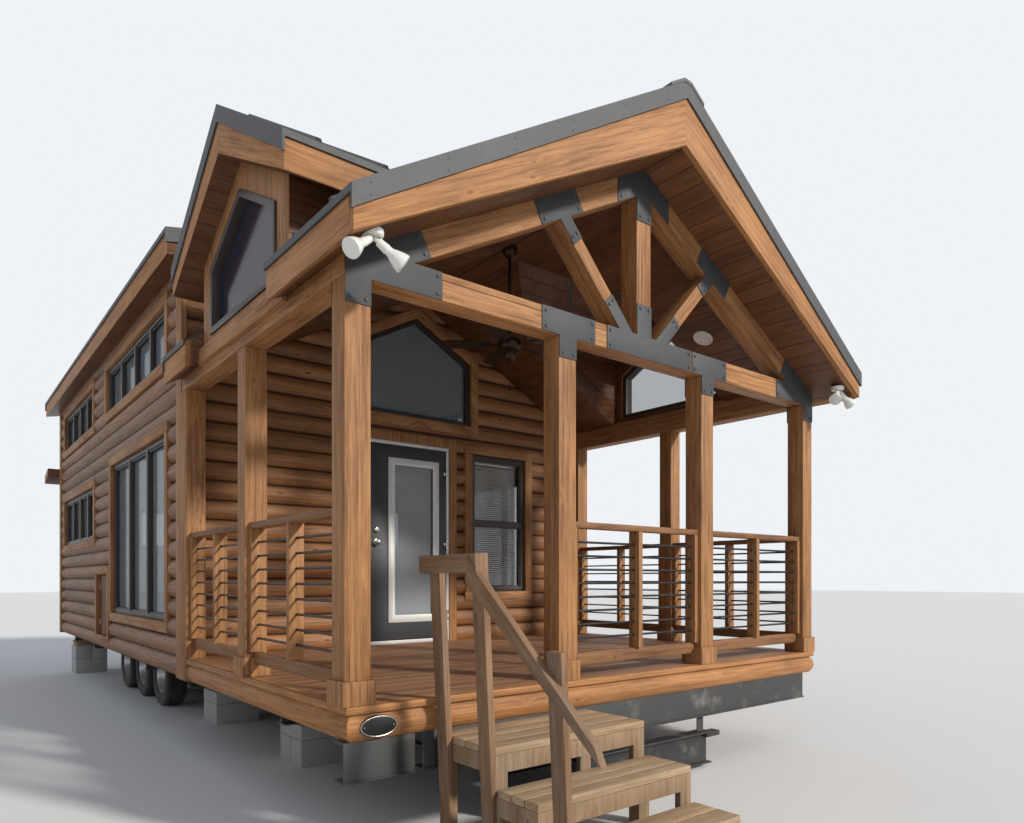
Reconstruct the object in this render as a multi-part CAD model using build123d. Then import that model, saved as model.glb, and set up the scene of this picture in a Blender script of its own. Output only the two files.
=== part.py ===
from build123d import *
import math
import os

# A log-sided tiny house on a wheeled steel chassis, with a covered porch at its front.
# Millimetres. X runs across the house, Y from the porch towards the rear, and Z up.
# While it is modelled, Y is 0 at the face of the porch rim and Z is 0 on top of the deck.
# The last step moves it so that its origin is on the ground, under the middle of its box.

# Overall sizes
HALF_WIDTH = 2134.0
DECK_HEIGHT = 750.0
PORCH_LENGTH = 2830.0
HOUSE_LENGTH = 6570.0
REAR_FACE = PORCH_LENGTH + HOUSE_LENGTH

# Log siding and the walls behind it
LOG_PITCH = 157.0
LOG_BULGE = 42.0
LOG_FACETS = 4
WALL_CORE = 110.0
FLOOR_DEPTH = 173.0
SHEATH_X = HALF_WIDTH - LOG_BULGE
SHEATH_FRONT = PORCH_LENGTH + LOG_BULGE
SHEATH_REAR = REAR_FACE - LOG_BULGE
INNER_X = SHEATH_X - WALL_CORE
INNER_FRONT = SHEATH_FRONT + WALL_CORE
INNER_REAR = SHEATH_REAR - WALL_CORE

# Porch timbers
POST = 140.0
POST_SETBACK = 20.0
COLLAR = 19.0
COLLAR_HEIGHT = 120.0
MID_POST_X = 687.0
SIDE_POST_Y = PORCH_LENGTH / 2 + 49.0
BEAM_UNDER = 2056.0
TIE_DEPTH = 147.0
SIDE_BEAM_EDGE = 102.0
CHORD_DEPTH = 159.0
WEB = 89.0
WEB_FOOT = (120.0, -60.0)
WEB_RUN = (730.0, 770.0)
PLATE = 6.0
POST_PLATE_DROP = 130.0
POST_PLATE = {-1: (230.0, 206.0), 1: (180.0, 222.0)}
CHORD_PLATE = (560.0, 890.0)
FAN_PLATE_LEFT = -351.0
FAN_PLATE_RIGHT = 495.0
FAN_PLATE_RISE = 204.0
PEAK_PLATE_REACH = 250.0
PEAK_PLATE_DROP = 190.0
WEB_FOOT_SHARE = 0.3
WEB_HEAD_SHARE = 0.66
DECK_BOARD = 38.0
JOIST = 38.0
JOIST_COUNT = 7
RIM_BACK = 68.0
RIM_BULGE = 30.0
RIM_FACETS = 6

# Trim boards and windows
BOARD = 38.0
CASING = 89.0
CASING_PROUD = 46.0
FRAME_WIDTH = 44.0
FRAME_BACK = 60.0
FRAME_PROUD = 12.0
GLASS_THICK = 6.0
MULLION = 50.0

# Porch roof: its top is steeper than its boarded underside
PORCH_SLOPE = 0.62
SOFFIT_SLOPE = 0.535
PORCH_OVERHANG = 126.0
EAVE_THICK = 188.0
RAKE_Y = -323.0
METAL = 20.0
METAL_EDGE = 12.0
METAL_DROP = 110.0
RIB_PITCH = 406.0
RIB_BASE = 46.0
RIB_TOP = 20.0
RIB_HEIGHT = 18.0
RIB_FROM_RIDGE = 50.0
PORCH_EAVE_X = HALF_WIDTH + PORCH_OVERHANG
SOFFIT_RIDGE = BEAM_UNDER + SIDE_BEAM_EDGE + SOFFIT_SLOPE * HALF_WIDTH
PORCH_RIDGE = SOFFIT_RIDGE - SOFFIT_SLOPE * PORCH_EAVE_X + EAVE_THICK + METAL + PORCH_SLOPE * PORCH_EAVE_X

# Side dormers
DORMER_Y = PORCH_LENGTH / 2 + 60.0
DORMER_HALF_WALL = 775.0
DORMER_HALF_ROOF = DORMER_HALF_WALL + 280.0
DORMER_RAKE_X = HALF_WIDTH + 136.0
DORMER_WALL = 100.0
DORMER_SILL_RISE = 92.0
DORMER_SILL = BEAM_UNDER + SIDE_BEAM_EDGE + DORMER_SILL_RISE
DORMER_RIDGE = PORCH_RIDGE - 165.0
DORMER_SOFFIT_RIDGE = SOFFIT_RIDGE - 65.0
DORMER_WINDOW_HALF = DORMER_HALF_WALL - 175.0
DORMER_WINDOW_RISE = 45.0
DORMER_WINDOW_SIDE = 445.0

# Main roof
MAIN_SLOPE = 0.20
MAIN_OVERHANG = 150.0
MAIN_EAVE_UNDER = 3020.0
MAIN_DEPTH = 180.0
MAIN_FRONT_OVERHANG = 180.0
MAIN_REAR_OVERHANG = 200.0

# Railings
RAIL_TOP = 960.0
RAIL_THICK = 38.0
RAIL_WIDTH = 89.0
RAIL_BOTTOM = 79.0
RAIL_BOTTOM_HEIGHT = 76.0
BAR_COUNT = 8
BAR_RADIUS = 7.0
BAR_SIDES = 4

# Front door
DOOR_LEFT = -510.0
DOOR_RIGHT = 320.0
DOOR_SILL = 38.0
DOOR_HEAD = 1862.0
DOOR_THICK = 44.0
DOOR_GAP = 7.0
DOOR_JAMB = 30.0
DOOR_OUT = CASING_PROUD - 8.0
LITE_LOW = 161.0
LITE_TOP = 115.0
LITE_KNOB_SIDE = 184.0
LITE_HINGE_SIDE = 86.0
LITE_FRAME = 70.0
LITE_PROUD = 10.0
KNOB_FROM_EDGE = 62.0
KNOB_HEIGHT = 912.0
DEADBOLT_HEIGHT = KNOB_HEIGHT + 115.0
HINGE_PLAY = 0.5
HINGE_PLATE = 3.0
HINGE_RADIUS = 9.0
HINGE_HEIGHT = 100.0

# Service door in the left wall
HATCH_Y0 = PORCH_LENGTH + 2990.0
HATCH_Y1 = HATCH_Y0 + 620.0
HATCH_Z0 = -30.0
HATCH_Z1 = 660.0
HATCH_THICK = 22.0
HATCH_HINGE_RADIUS = 3.0
HATCH_HINGE_HEIGHT = 60.0

# Window over the door
GABLE_WINDOW_HALF = 626.0
GABLE_WINDOW_SILL = DOOR_HEAD + 288.0
GABLE_WINDOW_SIDE = 630.0

# Chassis
CHASSIS_TOP = -FLOOR_DEPTH
RAIL_X = HALF_WIDTH * 0.64667
BEAM_DEPTH = 200.0
CROSS_DEPTH = 100.0
BEAM_FLANGE = 100.0
BEAM_WEB = 8.0
BEAM_FLANGE_THICK = 12.0
CHASSIS_LOW = CHASSIS_TOP - BEAM_DEPTH
CHANNEL_Y = 30.0
CHANNEL_RIGHT = HALF_WIDTH - 129.0
CHANNEL_SPLICE = -HALF_WIDTH + 394.0
CHANNEL_SPLICE_GAP = 45.0
HITCH_DROP = 117.0
HITCH_DEPTH = 230.0
HITCH_LEFT = -1160.0
HITCH_RIGHT = 750.0
HITCH_HANGER = 70.0
HITCH_TAB = 120.0
PIER_WIDTH = 400.0
CROSS_ROWS = [PORCH_LENGTH + offset for offset in (-1630.0, 370.0, 1870.0, 4670.0, 6250.0)]
PIER_ROWS = [PORCH_LENGTH + offset for offset in (-780.0, 1170.0, 5000.0)]
CORNER_PIER_X = HALF_WIDTH - 334.0

# Wheels
AXLE_COUNT = 3
AXLE_MIDDLE_Y = PORCH_LENGTH + 3270.0
AXLE_SPACING = 840.0
TYRE_RADIUS = 330.0
TYRE_WIDTH = 205.0
TYRE_X = RAIL_X + 245.0
RIM_RADIUS = 190.0
RIM_WALL = 12.0
WHEEL_SIDES = 12
TURNING_SIDES = 8
TUBE_RADIUS = 30.0
HUB_RADIUS = 70.0
AXLE_DROP = 90.0
WELL_DEPTH = 118.0
SPRING_WIDE = 44.0
SPRING_THICK = 24.0

# Stair and its handrail
STAIR_X0 = -HALF_WIDTH + 534.0
STAIR_X1 = STAIR_X0 + 1070.0
STEP_COUNT = 3
STAIR_RISE = DECK_HEIGHT / (STEP_COUNT + 1)
TREAD = 38.0
TREAD_GAP = 6.0
STEP_FRONTS = (-440.0, -760.0, -1060.0)
STEP_BACKS = (CHANNEL_Y, -470.0, -780.0)
STEP_BOARDS = (4, 3, 2)
STUD = 38.0
STUD_WIDE = 89.0
HANDRAIL_TOP = 730.0
HANDRAIL_LEAN = 3.0
HANDRAIL_POSTS = ((-60.0, HANDRAIL_TOP), (-420.0, HANDRAIL_TOP), (-930.0, 310.0))
HANDRAIL_END = (-1182.0, -30.0)

# Porch fan
FAN_Y = PORCH_LENGTH / 2 + 15.0
FAN_BLADE_Z = SOFFIT_RIDGE - 800.0
FAN_BLADES = 5
HOUSING_SIDES = 12
FAN_RADIUS = 540.0
FAN_CLEARANCE = 0.5
ROD_RADIUS = 13.0

# Flood lamps
LAMP_X = HALF_WIDTH - 24.0
LAMP_Y = -215.0
LAMP_REACH = 75.0
LAMP_LENGTH = 105.0
LAMP_RADIUS = 47.0
LAMP_NECK = 11.0

# Rear roof strip
PENT_TOP = 2240.0
PENT_FALL = 90.0
PENT_THICK = 90.0
PENT_REACH = 350.0

# Loft
LOFT_FLOOR_TOP = 2150.0
LOFT_FLOOR_DEPTH = 150.0
LOFT_FRONT_Y = PORCH_LENGTH + 3170.0

# Badge plate on the rim
BADGE_X = -HALF_WIDTH + 172.0
BADGE_HALF_WIDTH = 104.0
BADGE_HALF_HEIGHT = 54.0
BADGE_THICK = 5.0
BADGE_SIDES = 24

# Window rows: start along the wall, length, sill, head, panes across, meeting rail
SIDE_WINDOWS = [
    (PORCH_LENGTH + start, length, sill, head, panes, False)
    for start, length, sill, head, panes in (
        (520.0, 2250.0, 250.0, 1820.0, 3),
        (3820.0, 2300.0, 1080.0, 1700.0, 4),
        (520.0, 2500.0, 2420.0, 2890.0, 4),
        (3870.0, 2200.0, 2420.0, 2890.0, 4),
    )
]
REAR_WINDOWS = [
    (-1100.0, 2200.0, 1080.0, 1700.0, 4, False),
    (-550.0, 1100.0, 2500.0, 2930.0, 2, False),
]
FRONT_WINDOW = (640.0, 705.0, 480.0, 1880.0, 1, True)
WALL_SPLIT = FRONT_WINDOW[3] + CASING

LEFT, RIGHT = -1, 1


# Shapes that the whole house is made of

def block(x0, x1, y0, y1, z0, z1):
    """Rectangular block between two opposite corners, given in any order."""
    centre = Pos((x0 + x1) / 2, (y0 + y1) / 2, (z0 + z1) / 2)
    return centre * Box(abs(x1 - x0), abs(y1 - y0), abs(z1 - z0))


def prism_x(points, x0, x1):
    """Outline in the Y-Z plane carried from x0 to x1."""
    outline = Polyline(*[(x0, y, z) for y, z in points], close=True)
    return extrude(make_face(outline), amount=x1 - x0, dir=(1, 0, 0))


def prism_y(points, y0, y1):
    """Outline in the X-Z plane carried from y0 to y1."""
    outline = Polyline(*[(x, y0, z) for x, z in points], close=True)
    return extrude(make_face(outline), amount=y1 - y0, dir=(0, 1, 0))


def prism_z(points, z0, z1):
    """Outline in plan carried from z0 to z1."""
    outline = Polyline(*[(x, y, z0) for x, y in points], close=True)
    return extrude(make_face(outline), amount=z1 - z0, dir=(0, 0, 1))


def turned(stations, origin, direction, sides):
    """Facetted turning about an axis, from stations of distance along it and radius."""
    axis = Plane(origin=origin, z_dir=direction)
    turns = [2 * math.pi * i / sides for i in range(sides)]
    rings = []
    for along, radius in stations:
        ring = [Vector(radius * math.cos(turn), radius * math.sin(turn), along) for turn in turns]
        rings.append([axis.from_local_coords(point) for point in ring])
    outlines = [rings[0], rings[-1]]
    for low, high in zip(rings, rings[1:]):
        outlines += [[low[i - 1], low[i], high[i], high[i - 1]] for i in range(sides)]
    return Solid(Shell([Face(Wire.make_polygon(outline)) for outline in outlines]))


def rod(start, end, radius, sides=TURNING_SIDES):
    """Facetted rod between two points."""
    run = Vector(*end) - Vector(*start)
    return turned([(0, radius), (run.length, radius)], start, tuple(run), sides)


def group(*shapes):
    """Several separate solids as one node."""
    return Compound([solid for shape in shapes for solid in solids_of(shape)])


def solids_of(shape):
    """Solids of a shape, or of a list of shapes."""
    if isinstance(shape, (list, tuple)):
        return [solid for one in shape for solid in solids_of(one)]
    return shape.solids()


def wall_point(wall, along, out, z):
    """Point on a wall: a distance along it, and out from its sheathing."""
    if wall == "left":
        return (-(SHEATH_X + out), along, z)
    if wall == "right":
        return (SHEATH_X + out, along, z)
    if wall == "front":
        return (along, SHEATH_FRONT - out, z)
    return (along, SHEATH_REAR + out, z)


def wall_block(wall, a0, a1, out0, out1, z0, z1):
    """Block on a wall, between two distances along it and out from its sheathing."""
    p, q = wall_point(wall, a0, out0, z0), wall_point(wall, a1, out1, z1)
    return block(p[0], q[0], p[1], q[1], p[2], q[2])


# Roof surfaces

def main_under(x):
    """Height of the main roof's underside."""
    return MAIN_EAVE_UNDER + MAIN_SLOPE * (HALF_WIDTH + MAIN_OVERHANG - abs(x))


def soffit(x):
    """Height of the porch ceiling."""
    return SOFFIT_RIDGE - SOFFIT_SLOPE * abs(x)


def porch_top(x, lift=0.0):
    """Height of the porch roof's boards, under the metal."""
    return PORCH_RIDGE - METAL + lift - PORCH_SLOPE * abs(x)


def dormer_top(y, lift=0.0):
    """Height of a dormer's roof boards, under the metal."""
    return DORMER_RIDGE - METAL + lift - PORCH_SLOPE * abs(y - DORMER_Y)


def dormer_soffit(y):
    """Height of a dormer's ceiling."""
    return DORMER_SOFFIT_RIDGE - SOFFIT_SLOPE * abs(y - DORMER_Y)


def under_slopes(height, centre, reach, low):
    """Outline under a pair of slopes that meet over a centre."""
    a, b = centre - reach, centre + reach
    return [(a, low), (a, height(a)), (centre, height(centre)), (b, height(b)), (b, low)]


def roof_band(height, centre, reach, drop):
    """Outline of a layer of even depth under a pair of slopes."""
    a, b = centre - reach, centre + reach
    top = [(a, height(a)), (centre, height(centre)), (b, height(b))]
    return top + [(x, z - drop) for x, z in reversed(top)]


def below_porch(y0, y1, lift):
    """Everything below the porch roof's boards or metal, to cut other roofs with."""
    reach = PORCH_EAVE_X + METAL_EDGE
    return prism_y(under_slopes(lambda x: porch_top(x, lift), 0, reach, 0), y0, y1)


def above_porch(side, reach, lift):
    """Everything above one slope of the porch roof, to trim what sits on it."""
    high = PORCH_RIDGE + HALF_WIDTH
    outline = [(0, porch_top(0, lift)), (side * reach, porch_top(reach, lift))]
    outline += [(side * reach, high), (0, high)]
    return prism_y(outline, 0, PORCH_LENGTH)


# Walls

def log_edge(low):
    """Points over one half-log course: out from the sheathing, and height."""
    radius = ((LOG_PITCH / 2) ** 2 + LOG_BULGE ** 2) / (2 * LOG_BULGE)
    sweep_half = math.asin(LOG_PITCH / 2 / radius)
    middle = low + LOG_PITCH / 2
    points = []
    for i in range(LOG_FACETS):
        turn = sweep_half * (2 * i / LOG_FACETS - 1)
        points.append((radius * math.cos(turn) - radius + LOG_BULGE, middle + radius * math.sin(turn)))
    return points


def log_wall(wall, a0, a1, z0, top):
    """Wall core with half-log courses outside, from a0 to a1 and up past top."""
    courses = math.ceil((top - z0) / LOG_PITCH)
    outline = [point for i in range(courses) for point in log_edge(z0 + i * LOG_PITCH)]
    high = z0 + courses * LOG_PITCH
    outline += [(0, high), (-WALL_CORE, high), (-WALL_CORE, z0)]
    corners = [wall_point(wall, a0, out, z) for out, z in outline]
    along = (0, 1, 0) if wall in ("left", "right") else (1, 0, 0)
    return extrude(make_face(Polyline(*corners, close=True)), amount=a1 - a0, dir=along)


def cut_opening(shape, wall, a0, a1, z0, z1):
    """Wall with an opening, and its logs cut back for the casing round it."""
    past = 2 * LOG_BULGE
    shape -= wall_block(wall, a0, a1, -2 * WALL_CORE, past, z0, z1)
    return shape - wall_block(wall, a0 - CASING, a1 + CASING, 0, past, z0 - CASING, z1 + CASING)


def cut_windows(shape, wall, windows):
    """Wall with the openings of its windows."""
    for start, length, sill, head, _, _ in windows:
        shape = cut_opening(shape, wall, start, start + length, sill, head)
    return shape


def side_wall(wall):
    """Long wall of the house, up to the underside of the main roof."""
    shape = log_wall(wall, INNER_FRONT, INNER_REAR, -FLOOR_DEPTH, main_under(INNER_X))
    under = under_slopes(main_under, 0, HALF_WIDTH + LOG_BULGE, -FLOOR_DEPTH - POST)
    shape = shape & prism_y(under, INNER_FRONT, INNER_REAR)
    shape = cut_windows(shape, wall, SIDE_WINDOWS)
    if wall == "left":
        shape = cut_opening(shape, wall, HATCH_Y0, HATCH_Y1, HATCH_Z0, HATCH_Z1)
    return shape


def rear_wall():
    """Rear wall with its gable, notched for the roof strip."""
    shape = log_wall("rear", -SHEATH_X, SHEATH_X, -FLOOR_DEPTH, main_under(0))
    under = under_slopes(main_under, 0, SHEATH_X, -FLOOR_DEPTH)
    shape = shape & prism_y(under, INNER_REAR, REAR_FACE + LOG_BULGE)
    shape = cut_windows(shape, "rear", REAR_WINDOWS)
    pent = pent_band(SHEATH_REAR, REAR_FACE + LOG_BULGE, 0, PENT_THICK + METAL)
    return shape - prism_x(pent, -SHEATH_X, SHEATH_X)


def pentagon(half, sill, side, slope, margin=0.0):
    """Five-cornered window outline, drawn in by a margin: offset across, and height."""
    half, sill = half - margin, sill + margin
    side -= margin * (math.sqrt(1 + slope * slope) - slope)
    return [(-half, sill), (-half, side), (0, side + slope * half), (half, side), (half, sill)]


def gable_outline(margin=0.0):
    """Outline of the window over the door."""
    side = GABLE_WINDOW_SILL + GABLE_WINDOW_SIDE
    return pentagon(GABLE_WINDOW_HALF, GABLE_WINDOW_SILL, side, SOFFIT_SLOPE, margin)


def dormer_outline(margin=0.0):
    """Outline of a dormer's window."""
    sill = DORMER_SILL + DORMER_WINDOW_RISE
    points = pentagon(DORMER_WINDOW_HALF, sill, sill + DORMER_WINDOW_SIDE, SOFFIT_SLOPE, margin)
    return [(DORMER_Y + across, z) for across, z in points]


def doorway():
    """Doorway in the wall: its two sides and its head."""
    margin = DOOR_GAP + DOOR_JAMB
    return DOOR_LEFT - margin, DOOR_RIGHT + margin, DOOR_HEAD + margin


def front_walls():
    """Wall behind the porch: beside the doorway on each hand, and the gable above."""
    y0, y1 = PORCH_LENGTH - LOG_BULGE, INNER_FRONT
    whole = log_wall("front", -SHEATH_X, SHEATH_X, -FLOOR_DEPTH, main_under(0))
    whole = whole & prism_y(under_slopes(main_under, 0, SHEATH_X, -FLOOR_DEPTH), y0, y1)
    whole -= block(-SHEATH_X, SHEATH_X, y0, SHEATH_FRONT, -FLOOR_DEPTH, 0)
    whole = cut_windows(whole, "front", [FRONT_WINDOW])
    x0, x1, head = doorway()
    whole -= block(x0, x1, y0, y1, -FLOOR_DEPTH, head)
    whole -= block(x0 - CASING, x1 + CASING, y0, SHEATH_FRONT, 0, head + CASING)
    whole -= prism_y(gable_outline(), y0, y1)
    whole -= prism_y(gable_outline(-CASING), y0, SHEATH_FRONT)
    left = whole & block(-SHEATH_X, x0, y0, y1, -FLOOR_DEPTH, WALL_SPLIT)
    right = whole & block(x1, SHEATH_X, y0, y1, -FLOOR_DEPTH, WALL_SPLIT)
    above = whole & block(-SHEATH_X, SHEATH_X, y0, y1, WALL_SPLIT, PORCH_RIDGE)
    over_door = whole & block(x0, x1, y0, y1, head, WALL_SPLIT)
    return left, right, above + over_door


def corner_boards():
    """Boards that close the ends of the log courses, and the posts at the porch wall."""
    pieces = []
    low = -FLOOR_DEPTH
    for side in (LEFT, RIGHT):
        inner, outer = side * SHEATH_X, side * (SHEATH_X + CASING_PROUD)
        high = main_under(SHEATH_X + CASING_PROUD)
        front = block(inner, outer, PORCH_LENGTH, INNER_FRONT, low, high)
        front += block(side * (HALF_WIDTH - POST), outer, PORCH_LENGTH - POST, PORCH_LENGTH, 0, BEAM_UNDER)
        front += block(side * (HALF_WIDTH - RIM_BACK), outer, PORCH_LENGTH - POST, PORCH_LENGTH, low, 0)
        pieces.append(front)
        pieces.append(block(inner, outer, INNER_REAR, REAR_FACE, low, high))
    return group(*pieces)


# Windows

def window_set(wall, window):
    """Casing, frame and panes of one row of windows."""
    start, length, z0, z1, panes, meeting_rail = window
    end = start + length
    casing = wall_block(wall, start - CASING, end + CASING, 0, CASING_PROUD, z0 - CASING, z1 + CASING)
    casing -= wall_block(wall, start, end, 0, CASING_PROUD, z0, z1)
    frame = wall_block(wall, start, end, -FRAME_BACK, FRAME_PROUD, z0, z1)
    low, high = z0 + FRAME_WIDTH, z1 - FRAME_WIDTH
    middle = (low + high) / 2
    rows = [(low, high)]
    if meeting_rail:
        rows = [(low, middle - FRAME_WIDTH / 2), (middle + FRAME_WIDTH / 2, high)]
    glass = []
    pitch = (length - 2 * FRAME_WIDTH + MULLION) / panes
    for pane in range(panes):
        a = start + FRAME_WIDTH + pane * pitch
        b = a + pitch - MULLION
        for row_low, row_high in rows:
            frame -= wall_block(wall, a, b, -FRAME_BACK, FRAME_PROUD, row_low, row_high)
            back = -FRAME_BACK / 2
            glass.append(wall_block(wall, a, b, back - GLASS_THICK, back, row_low, row_high))
    return casing, frame, glass


def gable_window():
    """Casing, frame and glass of the five-cornered window over the door."""
    face = SHEATH_FRONT - CASING_PROUD
    casing = prism_y(gable_outline(-CASING), face, SHEATH_FRONT)
    casing -= prism_y(gable_outline(), face, SHEATH_FRONT)
    front, back = SHEATH_FRONT - FRAME_PROUD, SHEATH_FRONT + FRAME_BACK
    frame = prism_y(gable_outline(), front, back) - prism_y(gable_outline(FRAME_WIDTH), front, back)
    middle = SHEATH_FRONT + FRAME_BACK / 2
    return casing, frame, prism_y(gable_outline(FRAME_WIDTH), middle, middle + GLASS_THICK)


def dormer_window(side):
    """Frame and glass of a dormer's five-cornered window."""
    inner, outer = side * (HALF_WIDTH - DORMER_WALL + BOARD / 2), side * (HALF_WIDTH + FRAME_PROUD)
    frame = prism_x(dormer_outline(), inner, outer) - prism_x(dormer_outline(FRAME_WIDTH), inner, outer)
    middle = side * (HALF_WIDTH - DORMER_WALL / 2)
    return frame, prism_x(dormer_outline(FRAME_WIDTH), middle, middle + side * GLASS_THICK)


def windows():
    """All casings, frames and glass. The dormers' frames are a node of their own."""
    casings, frames, glass, dormer_frames = [], [], [], []
    rows = [(wall, window) for wall in ("left", "right") for window in SIDE_WINDOWS]
    rows += [("rear", window) for window in REAR_WINDOWS] + [("front", FRONT_WINDOW)]
    for casing, frame, panes in [window_set(*row) for row in rows] + [gable_window()]:
        casings.append(casing)
        frames.append(frame)
        glass.append(panes)
    for side in (LEFT, RIGHT):
        frame, pane = dormer_window(side)
        dormer_frames.append(frame)
        glass.append(pane)
    z0, z1 = HATCH_Z0 - CASING, HATCH_Z1 + CASING
    hatch = wall_block("left", HATCH_Y0 - CASING, HATCH_Y1 + CASING, 0, CASING_PROUD, z0, z1)
    casings.append(hatch - wall_block("left", HATCH_Y0, HATCH_Y1, 0, CASING_PROUD, HATCH_Z0, HATCH_Z1))
    return group(*casings), group(*frames), group(*glass), group(*dormer_frames)


# Doors

def hinges(wall, edge, out, heights, radius, height, plate_reach):
    """Hinges beside a leaf's edge: the middle knuckles that turn, and the outer ones that stay."""
    centre = edge + DOOR_GAP / 2
    axis = out + radius
    third = height / 3
    turning, staying = [], []
    for z in heights:
        for knuckle in range(3):
            z0 = z - height / 2 + knuckle * third + HINGE_PLAY
            z1 = z0 + third - 2 * HINGE_PLAY
            ends = wall_point(wall, centre, axis, z0), wall_point(wall, centre, axis, z1)
            piece = rod(*ends, radius)
            if knuckle == 1:
                piece += wall_block(wall, centre, centre - plate_reach, out, out + HINGE_PLATE, z0, z1)
                turning.append(piece)
            elif out > 0:
                piece += wall_block(wall, centre, centre + plate_reach, out, out + HINGE_PLATE, z0, z1)
                staying.append(piece)
            else:
                piece += wall_block(wall, centre, centre + DOOR_GAP / 2, out, axis + radius, z0, z1)
                staying.append(piece)
    return turning, staying


def door_frame():
    """Casing round the front door, and its jambs with the threshold."""
    x0, x1, head = doorway()
    casing = wall_block("front", x0 - CASING, x1 + CASING, 0, CASING_PROUD, 0, head + CASING)
    casing -= wall_block("front", x0, x1, 0, CASING_PROUD, 0, head)
    jamb = wall_block("front", x0, x1, -WALL_CORE, DOOR_OUT, 0, head)
    a, b = DOOR_LEFT - DOOR_GAP, DOOR_RIGHT + DOOR_GAP
    jamb -= wall_block("front", a, b, -WALL_CORE, DOOR_OUT, DOOR_SILL - DOOR_GAP, DOOR_HEAD + DOOR_GAP)
    return casing, jamb


def front_door():
    """Leaf with its glazed opening, the frames and glass of the lite, and the hardware."""
    inside = DOOR_OUT - DOOR_THICK
    leaf = wall_block("front", DOOR_LEFT, DOOR_RIGHT, inside, DOOR_OUT, DOOR_SILL, DOOR_HEAD)
    x0, x1 = DOOR_LEFT + LITE_KNOB_SIDE, DOOR_RIGHT - LITE_HINGE_SIDE
    z0, z1 = DOOR_SILL + LITE_LOW, DOOR_HEAD - LITE_TOP
    a, b, low, high = x0 + LITE_FRAME, x1 - LITE_FRAME, z0 + LITE_FRAME, z1 - LITE_FRAME
    leaf -= wall_block("front", a, b, inside, DOOR_OUT, low, high)
    rims = []
    for near, far in ((DOOR_OUT, DOOR_OUT + LITE_PROUD), (inside - LITE_PROUD, inside)):
        rim = wall_block("front", x0, x1, near, far, z0, z1)
        rims.append(rim - wall_block("front", a, b, near, far, low, high))
    middle = DOOR_OUT - DOOR_THICK / 2
    glass = wall_block("front", a, b, middle - GLASS_THICK, middle + GLASS_THICK, low, high)
    knob_x = DOOR_LEFT + KNOB_FROM_EDGE
    fittings = []
    for face, away in ((DOOR_OUT, -1), (inside, 1)):
        y = SHEATH_FRONT - face
        for height, stations in (
            (KNOB_HEIGHT, [(0, 32), (8, 30), (12, 12), (30, 12), (38, 25), (52, 27), (60, 18)]),
            (DEADBOLT_HEIGHT, [(0, 32), (10, 30), (22, 24)]),
        ):
            place = ((knob_x, y, DOOR_SILL + height), (0, away, 0))
            fittings.append(turned(stations, *place, TURNING_SIDES))
    heights = [DOOR_SILL + (DOOR_HEAD - DOOR_SILL) * share for share in (0.12, 0.5, 0.88)]
    turning, staying = hinges("front", DOOR_RIGHT, DOOR_OUT, heights, HINGE_RADIUS, HINGE_HEIGHT, DOOR_JAMB)
    return leaf, group(*rims), glass, group(fittings, turning), staying


def service_door():
    """Small service door in the left wall, with its hinges."""
    edge = HATCH_Y1 - DOOR_GAP
    z0, z1 = HATCH_Z0 + DOOR_GAP, HATCH_Z1 - DOOR_GAP
    leaf = wall_block("left", HATCH_Y0 + DOOR_GAP, edge, -HATCH_THICK, 0, z0, z1)
    heights = [z0 + (z1 - z0) * share for share in (0.2, 0.8)]
    reach = 4 * HATCH_HINGE_RADIUS
    turning, staying = hinges("left", edge, 0, heights, HATCH_HINGE_RADIUS, HATCH_HINGE_HEIGHT, reach)
    return leaf + turning[0] + turning[1], staying


# Porch frame

def post_places():
    """Middle of each porch post in plan."""
    front = POST_SETBACK + POST / 2
    corner = HALF_WIDTH - POST / 2
    places = [(x, front) for x in (-corner, -MID_POST_X, MID_POST_X, corner)]
    return places + [(x, SIDE_POST_Y) for x in (-corner, corner)]


def posts():
    """Six square porch posts, and the collars round their feet."""
    half, wide = POST / 2, POST / 2 + COLLAR
    shafts, collars = [], []
    for x, y in post_places():
        shafts.append(block(x - half, x + half, y - half, y + half, 0, BEAM_UNDER))
        collar = block(x - wide, x + wide, y - wide, y + wide, 0, COLLAR_HEIGHT)
        collars.append(collar - block(x - half, x + half, y - half, y + half, 0, COLLAR_HEIGHT))
    return group(*shafts), group(*collars)


def chord_under(x):
    """Height of the underside of the truss's sloping chords."""
    return soffit(x) - CHORD_DEPTH


def web_outline(side, start, end):
    """Outline of a stretch of a truss web, in the truss's plane."""
    tie_top = BEAM_UNDER + TIE_DEPTH
    foot = Vector(side * WEB_FOOT[0], tie_top + WEB_FOOT[1])
    run = Vector(side * WEB_RUN[0], WEB_RUN[1])
    across = Vector(-run.Y, run.X).normalized() * (WEB / 2)
    a, b = foot + run * start, foot + run * end
    return [(p.X, p.Y) for p in (a - across, a + across, b + across, b - across)]


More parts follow.
